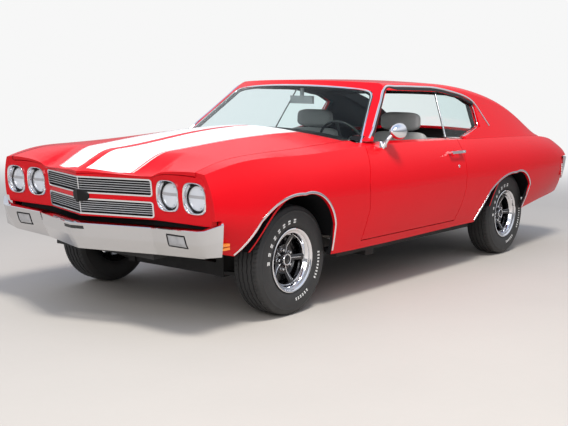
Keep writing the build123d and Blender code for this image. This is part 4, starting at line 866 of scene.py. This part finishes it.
bezels = Shape()
turned = {row[0]: Shape() for row in LAMP_TURNINGS}
for y in [hand * y for y in LAMP_Y for hand in (1, -1)]:
    bezels.add(*bezel_mesh(y))
    place = facing(LAMP_X, y, LAMP_Z)
    for name, _, _, _, count, closed, profile in LAMP_TURNINGS:
        turned[name].add(*lathe(profile, count, closed), place)
    for k in range(3):
        spot = Matrix.Rotation(-pi / 2 + k * tau / 3, 4, "Z") @ move(0.0575, 0, 0.006)
        turned["headlamp_retainers"].add(*lathe(NUB_PROFILE, 10), place @ spot)
    bar = block((0.003, 0.118, 0.0035), 0.0008)
    turned["headlamp_shields"].add(*bar, move(LAMP_X - 0.009, y, LAMP_Z))
bezels.piece("headlamp_rings", *PLATED, ("headlamp_bezels",))
for name, finish, slot, replaced, *_ in LAMP_TURNINGS:
    turned[name].piece(name, finish, 40, slot, replaced)

# ---- grille pad and lamp frames
PAD_Y, PAD_HIGH, PAD_Z, PAD_POWER = 0.066, 0.034, 0.722, 2.6
# Rows from the back forward, columns: scale of the outline, height above the face
PAD_ROWS = ((1, -0.016), (1, 0.006), (0.97, 0.009), (0.9, 0.011))


def grille_pad(count=64):
    """Closed plate that follows the V of the face."""
    verts = []
    for scale, rise in PAD_ROWS:
        for c, s in circle(count):
            y = copysign(scale * PAD_Y * abs(c) ** (2 / PAD_POWER), c)
            z = PAD_Z + copysign(scale * PAD_HIGH * abs(s) ** (2 / PAD_POWER), s)
            verts.append((face_x(y, z) + rise, y, z))
    faces = grid_faces(len(PAD_ROWS), count) + [tuple(range(count))]
    last = (len(PAD_ROWS) - 1) * count
    # The front is closed by strips between mirrored points, so that it bends along the V
    for k in range(count // 2):
        ends = (k, k + 1, (count - k - 1) % count, (count - k) % count)
        faces.append(tuple(last + i for i in dict.fromkeys(ends)))
    return verts, faces


Shape().add(*grille_pad()).piece("grille_pad", "black_trim", 30, "black_trim")


def lamp_frame(name, corners, skin, way, count, half_section, growth=1):
    """Dark frame round a lamp, laid on the face of a bumper that looks forward or back; its black is painted
    shade, the shade of the recess the lamp sits in.
    """
    path, ups = [], []
    middle = [(min(c) + max(c)) / 2 for c in zip(*corners)]
    for a, b in zip(corners, corners[1:] + corners[:1]):
        for point in between(a, b, count):
            spot = [m + (c - m) * growth for c, m in zip(point, middle)]
            place, normal, _, _ = skin.ray_cast(Vector((way * 3, *spot)), Vector((-way, 0, 0)))
            path.append(Vector((place.x, *point)))
            ups.append(normal if normal.x * way > 0 else -normal)
    strip(path, two_sided(half_section), ups, closed=True).mirrored().piece(name, "black_trim")


# The black frames stand in for the shade round the lamps' recesses
PARKING_LAMP = ((0.59, 0.483), (0.722, 0.481), (0.72, 0.548), (0.593, 0.549))
lamp_frame("parking_lamp_frames", PARKING_LAMP, surface("front_bumper", "parking_lamps"), 1, 8,
           [(4, -3), (4, 1.5), (2, 3)], 1.02)
TAIL_LAMP = ((0.428, 0.596), (0.742, 0.596), (0.742, 0.688), (0.428, 0.688))
lamp_frame("tail_lamp_frames", TAIL_LAMP, surface("rear_bumper", "tail_lamps"), -1, 10,
           [(5, -3), (5, 1.5), (2, 3.5)])

# ---- seats
PAD_GRID = 44
PLEAT_DEPTH, PLEAT_HALF = 0.055, 0.012
PLEAT_END = 0.78
SEAM_DEPTH, SEAM_HALF = 0.1, 0.05
CROWN, WAIST = 0.05, 0.02


def pad_mesh(corners, half_y, centre_y, pleats, seams, power):
    """Stuffed form: a rounded box fitted to four (x, z) corners, crowned, with sewn lines on its face.

    The corners run back left, front left, front right, back right as seen from the side, and the face is
    the side between the last two. Pleats lie at shares of the half width, seams at shares of the length.
    """
    builder = bmesh.new()
    bmesh.ops.create_cube(builder, size=2)
    bmesh.ops.subdivide_edges(builder, edges=builder.edges[:], cuts=PAD_GRID - 1, use_grid_fill=True)
    for vert in builder.verts:
        shrink = sum(abs(c) ** power for c in vert.co) ** (-1 / power)
        u, w, v = vert.co * shrink
        if v > 0:
            sink = CROWN * (1 - (1 - u * u) * (1 - w * w))
            for pleat in pleats if abs(u) < PLEAT_END else ():
                sink += PLEAT_DEPTH * max(0, 1 - (abs(w - pleat) * half_y / PLEAT_HALF) ** 2)
            for seam in seams:
                sink += SEAM_DEPTH * max(0, 1 - (abs(u - seam) / SEAM_HALF) ** 2)
            v -= sink * min(1, v * 1.6)
        w *= 1 - WAIST * (1 - u * u)
        back, front, front_top, back_top = (Vector(corner) for corner in corners)
        place = back.lerp(front, (1 + u) / 2).lerp(back_top.lerp(front_top, (1 + u) / 2), (1 + v) / 2)
        vert.co = (place.x, centre_y + half_y * w, place.y)
    return mesh_parts(builder)


SEAT_Y = 0.405
FRONT_PLEATS = (-0.6, -0.36, -0.12, 0.12, 0.36, 0.6)
REAR_PLEATS = (-0.8, -0.66, -0.52, -0.38, -0.24, 0.24, 0.38, 0.52, 0.66, 0.8)
# Columns: name, node it replaces, half width, pleats, seams, squareness, corners
PADS = (
    ("seat_cushion", "front_seats", 0.25, FRONT_PLEATS, (0.72,), 7,
     ((-0.33, 0.374), (0.09, 0.374), (0.09, 0.52), (-0.33, 0.484))),
    ("seat_back", "front_seats", 0.24, FRONT_PLEATS, (0.52,), 7,
     ((-0.389, 0.472), (-0.389, 1.01), (-0.322, 1.01), (-0.214, 0.486))),
    ("head_restraint", "front_seats", 0.172, (), (), 3.6,
     ((-0.402, 1.018), (-0.392, 1.158), (-0.33, 1.158), (-0.31, 1.018))),
    ("rear_seat_cushion", "rear_seat", 0.59, REAR_PLEATS, (0.7,), 7,
     ((-0.836, 0.362), (-0.5, 0.362), (-0.5, 0.52), (-0.836, 0.5))),
    ("rear_seat_back", "rear_seat", 0.585, REAR_PLEATS, (0.66,), 7,
     ((-1.105, 0.58), (-1.178, 0.928), (-1.062, 0.928), (-0.928, 0.59))),
)
for hand, side in ((1, "_left"), (-1, "_right"), (0, "")):
    for name, node, half_y, pleats, seams, power, corners in PADS:
        if (node == "rear_seat") == (hand == 0):
            pad = Shape().add(*pad_mesh(corners, half_y, hand * SEAT_Y, pleats, seams, power))
            pad.piece(name + side, "seat_vinyl", 60, "seat_vinyl", (node,))

stems, slides = Shape(), Shape()
for way in (-1, 1):
    stems.add(*lathe(((5.5, -40), (5.5, 40)), 12), move(-0.36, SEAT_Y + way * 0.06, 1.025))
    slides.add(*block((0.38, 0.03, 0.018), 0.003), move(-0.12, SEAT_Y + way * 0.185, 0.369))
stems.mirrored().piece("head_restraint_stems", *PLATED)
slides.mirrored().piece("seat_slides", "black_trim")

# ---- door trim
TRIM_Y = 0.7745
TRIM_FRONT, TRIM_REAR = 0.69, -0.37
TRIM_COLUMNS = 24
TRIM_EDGE = 0.35
# Card with an armrest's seam and a padded top roll, columns: z, thickness
TRIM_ROWS = ((0.43, 0.004), (0.436, 0.01), (0.56, 0.01), (0.566, 0.006), (0.572, 0.01), (0.78, 0.01),
             (0.786, 0.006), (0.792, 0.012), (0.88, 0.012), (0.905, 0.016), (0.922, 0.012), (0.928, 0.004))
CRANK_HUB = ((17, 0), (17, 6), (12, 10), (9, 16), (2, 18))
CRANK_KNOB = ((8, 14), (9.5, 22), (9.5, 34), (6, 38), (1, 39))
LOCK_KNOB = ((3, -30), (3, 0), (4.6, 2), (4.6, 12), (2, 16))
KEY_LOCK = ((11.5, -3), (11.5, 1.8), (9.775, 3), (6.325, 3), (5.75, 1.8), (0.6, 1.8))
BUTTON = ((10.5, -4), (10.5, 1.2), (9.5, 2.4), (0.6, 3))

front, back = [], []
for z, rise in TRIM_ROWS:
    for k in range(TRIM_COLUMNS + 1):
        x = TRIM_REAR + (TRIM_FRONT - TRIM_REAR) * k / TRIM_COLUMNS
        front.append((x, TRIM_Y - rise * (TRIM_EDGE if k in (0, TRIM_COLUMNS) else 1), z))
        back.append((x, TRIM_Y, z))
for hand, side in HANDS:
    door = f"door_{side}"
    flip = Matrix.Diagonal((1, hand, 1, 1))
    card = Shape().add(*plate(front, back, len(TRIM_ROWS), TRIM_COLUMNS + 1), flip)
    card.piece(f"door_trim_{side}", "trim_vinyl", 30, body=door)
    arm = Shape().add(*block((0.33, 0.052, 0.06), 0.014, (0.94, 0.86)),
                      flip @ move(0.08, 0.742, 0.64))
    arm.piece(f"door_armrest_{side}", "seat_vinyl", 50, "seat_vinyl", body=door)
    hub = flip @ facing(0.28, 0.765, 0.745, "X")
    crank = Shape().add(*lathe(CRANK_HUB, 24), hub)
    crank.add(*block((0.078, 0.012, 0.006), 0.002), hub @ move(0.035, 0, 0.015))
    crank.add(*lathe(CRANK_KNOB, 16), hub @ move(0.07, 0, 0))
    crank.add(*block((0.085, 0.02, 0.01), 0.003), hub @ move(-0.06, 0.06, 0.008))
    crank.piece(f"door_crank_{side}", *PLATED, body=door)
    knob = Shape().add(*lathe(LOCK_KNOB, 12), flip @ move(-0.025, 0.8005, 0.964))
    knob.piece(f"lock_knob_{side}", *PLATED, body=door)
    place, normal = from_side(surface(door), -0.325, 0.781, hand)
    lock = Matrix.Translation(place) @ normal.to_track_quat("Z", "Y").to_matrix().to_4x4()
    place, _ = from_side(surface(f"handle_{side}"), -0.38, 0.885, hand)
    fittings = Shape().add(*lathe(KEY_LOCK, 32), lock)
    fittings.add(*lathe(BUTTON, 32), facing(*place, "X", -hand * pi / 2))
    fittings.piece(f"door_lock_{side}", *PLATED, body=door)

MIRROR_GLASS = ((47, -3), (47, 1.2), (45.5, 2), (0.6, 2))
glass = Shape().add(*lathe(MIRROR_GLASS, 48), facing(0.5045, 0.928, 1.062, turn=-pi / 2))
glass.piece("door_mirror_glass", "mirror_glass", 40, "mirror_face", body="door_left")

# ---- dashboard, tail and shade baffle
# Dials, columns: y, z, radius in mm
DIALS = ((0.455, 0.88, 48), (0.285, 0.88, 48), (0.575, 0.885, 28), (0.165, 0.885, 28))
# Depth of dials and rims behind the dashboard's face, in mm
DIAL_FOOT = -20
dials, rims = Shape(), Shape()
dash = surface("dashboard")
for y, z, r in DIALS:
    place = dash.ray_cast(Vector((0.3, y, z)), Vector((1, 0, 0)))[0]
    if place:
        turn = facing(place.x, y, z, turn=-pi / 2)
        dials.add(*lathe(((r * 0.92, DIAL_FOOT), (r * 0.92, 3.5), (0.6, 3.5)), 40), turn)
        rim = ((r, DIAL_FOOT), (r, 6), (r * 0.97, 9), (r * 0.93, 6), (r * 0.93, DIAL_FOOT))
        rims.add(*lathe(rim, 40, closed=True), turn)
dials.piece("gauge_faces", "gloss_black")
rims.piece("gauge_rims", "satin_chrome")

# Side lamp bars: lowest height and step
BAR_Z, BAR_STEP, BAR_COUNT = 0.5925, 0.0148, 7
bars = Shape()
for k in range(BAR_COUNT):
    bars.add(*block((0.026, 0.004, 0.0085), 0.001), move(-2.2815, 0.9165, BAR_Z + BAR_STEP * k))
bars.mirrored().piece("side_lamp_bars", "raised_white")
EXHAUST_TIP = ((27.5, 0), (29, 4), (29, 90), (30, 94), (29, 97), (26.5, 94), (25.5, 0))
tips = Shape().add(*lathe(EXHAUST_TIP, 40, closed=True), facing(-2.3, 0.44, 0.33, turn=-pi / 2))
tips.mirrored().piece("exhaust_tips", "chrome")
# The baffle lies behind the slot between header and bumper; it is painted shade, a black sheet where there is
# only shade
baffle = Shape().add(*block((0.004, 1.58, 0.11), 0.001), move(2.236, 0, 0.562))
baffle.piece("front_shade_baffle", "black_trim")

# ---- floor, light and camera
BACKDROP = (0.93, 0.93, 0.93, 1)
FADE_START, FADE_END = 4.5, 11


def direct_rays(tree):
    """1 for what the camera sees, straight or through glass."""
    path = add_node(tree, "LightPath").outputs
    return Signal(path["Is Camera Ray"]) | Signal(path["Is Transmission Ray"])


def fading(material):
    """Floor that turns into the backdrop far from the car."""
    at = Spot(material)
    reach = at.vector("LENGTH", at.point).socket
    fade = add_node(at.tree, "MapRange", {"Value": reach, "From Min": FADE_START, "From Max": FADE_END},
                    interpolation_type="SMOOTHSTEP")
    seen = Signal(fade.outputs["Result"]) * direct_rays(at.tree)
    glow = add_node(at.tree, "Emission", {"Color": BACKDROP})
    surface_shader = at.tree.nodes["Principled BSDF"].outputs["BSDF"]
    mix = add_node(at.tree, "MixShader", {0: seen.socket, 1: surface_shader, 2: glow.outputs["Emission"]})
    at.tree.links.new(mix.outputs["Shader"], at.tree.nodes["Material Output"].inputs["Surface"])
    return material


bpy.ops.mesh.primitive_plane_add(size=60, location=(0, 0, -0.001))
floor = bpy.context.object
floor.name = "studio_floor"
concrete = shader("floor", (0.46, 0.425, 0.385), (0.41, 0.38, 0.345), 0.8, (0.7, 0.85), 0.2, 60)
floor.data.materials.append(fading(concrete))

# Sky from straight down to straight up, columns: share of the way, colour
SKY = ((0, (0.22, 0.2, 0.18)), (0.48, (0.26, 0.24, 0.22)), (0.505, (0.3, 0.3, 0.3)),
       (0.545, (0.3, 0.31, 0.33)), (0.6, (0.38, 0.4, 0.45)), (0.72, (0.85, 0.88, 0.95)),
       (0.86, (0.85, 0.9, 1)), (1, (0.42, 0.56, 0.85)))
world = bpy.data.worlds.new("studio_world")
bpy.context.scene.world = world
world.use_nodes = True
tree = world.node_tree
coord = add_node(tree, "TexCoord")
split = add_node(tree, "SeparateXYZ", {"Vector": coord.outputs["Generated"]})
sky = add_node(tree, "ValToRGB", {"Fac": (Signal(split.outputs["Z"]) * 0.5 + 0.5).socket})
while len(sky.color_ramp.elements) < len(SKY):
    sky.color_ramp.elements.new(0.5)
for element, (place, colour) in zip(sky.color_ramp.elements, SKY):
    element.position = place
    element.color = (*colour, 1)
sockets = {"Factor": direct_rays(tree).socket, "A": sky.outputs["Color"], "B": BACKDROP}
mix = add_node(tree, "Mix", sockets, data_type="RGBA")
tree.links.new(mix.outputs["Result"], tree.nodes["Background"].inputs["Color"])

# Columns: name, place, target, width and height, power, colour
LIGHTS = (("key_light", (2.5, 3.5, 9), (0.2, 0, 0.4), (2, 2), 900, (1, 0.97, 0.92)),
          ("front_fill", (8.5, 4, 4), (0.8, 0, 0.5), (5, 4), 300, (1, 1, 1)))
for name, place, target, size, power, colour in LIGHTS:
    lamp = bpy.data.lights.new(name, "AREA")
    lamp.shape = "RECTANGLE"
    lamp.size, lamp.size_y = size
    lamp.energy = power
    lamp.color = colour
    holder = bpy.data.objects.new(name, lamp)
    bpy.context.collection.objects.link(holder)
    holder.location = place
    holder.rotation_euler = (Vector(target) - Vector(place)).to_track_quat("-Z", "Y").to_euler()

CAMERA_PLACE = (6.027, 4.293, 1.372)
YAW, PITCH, ROLL = radians(38.08), radians(7.67), radians(0.73)
FOCAL_PIXELS, PHOTO_WIDTH, SENSOR = 971.2, 568, 36
ahead = Vector((-cos(YAW) * cos(PITCH), -sin(YAW) * cos(PITCH), -sin(PITCH)))
camera_data = bpy.data.cameras.new("camera")
camera_data.sensor_width = SENSOR
camera_data.lens = FOCAL_PIXELS / PHOTO_WIDTH * SENSOR
camera = bpy.data.objects.new("camera", camera_data)
bpy.context.collection.objects.link(camera)
aim = ahead.to_track_quat("-Z", "Y").to_matrix().to_4x4()
camera.matrix_world = move(*CAMERA_PLACE) @ aim @ Matrix.Rotation(ROLL, 4, "Z")
scene = bpy.context.scene
scene.camera = camera
scene.view_settings.view_transform = "Standard"
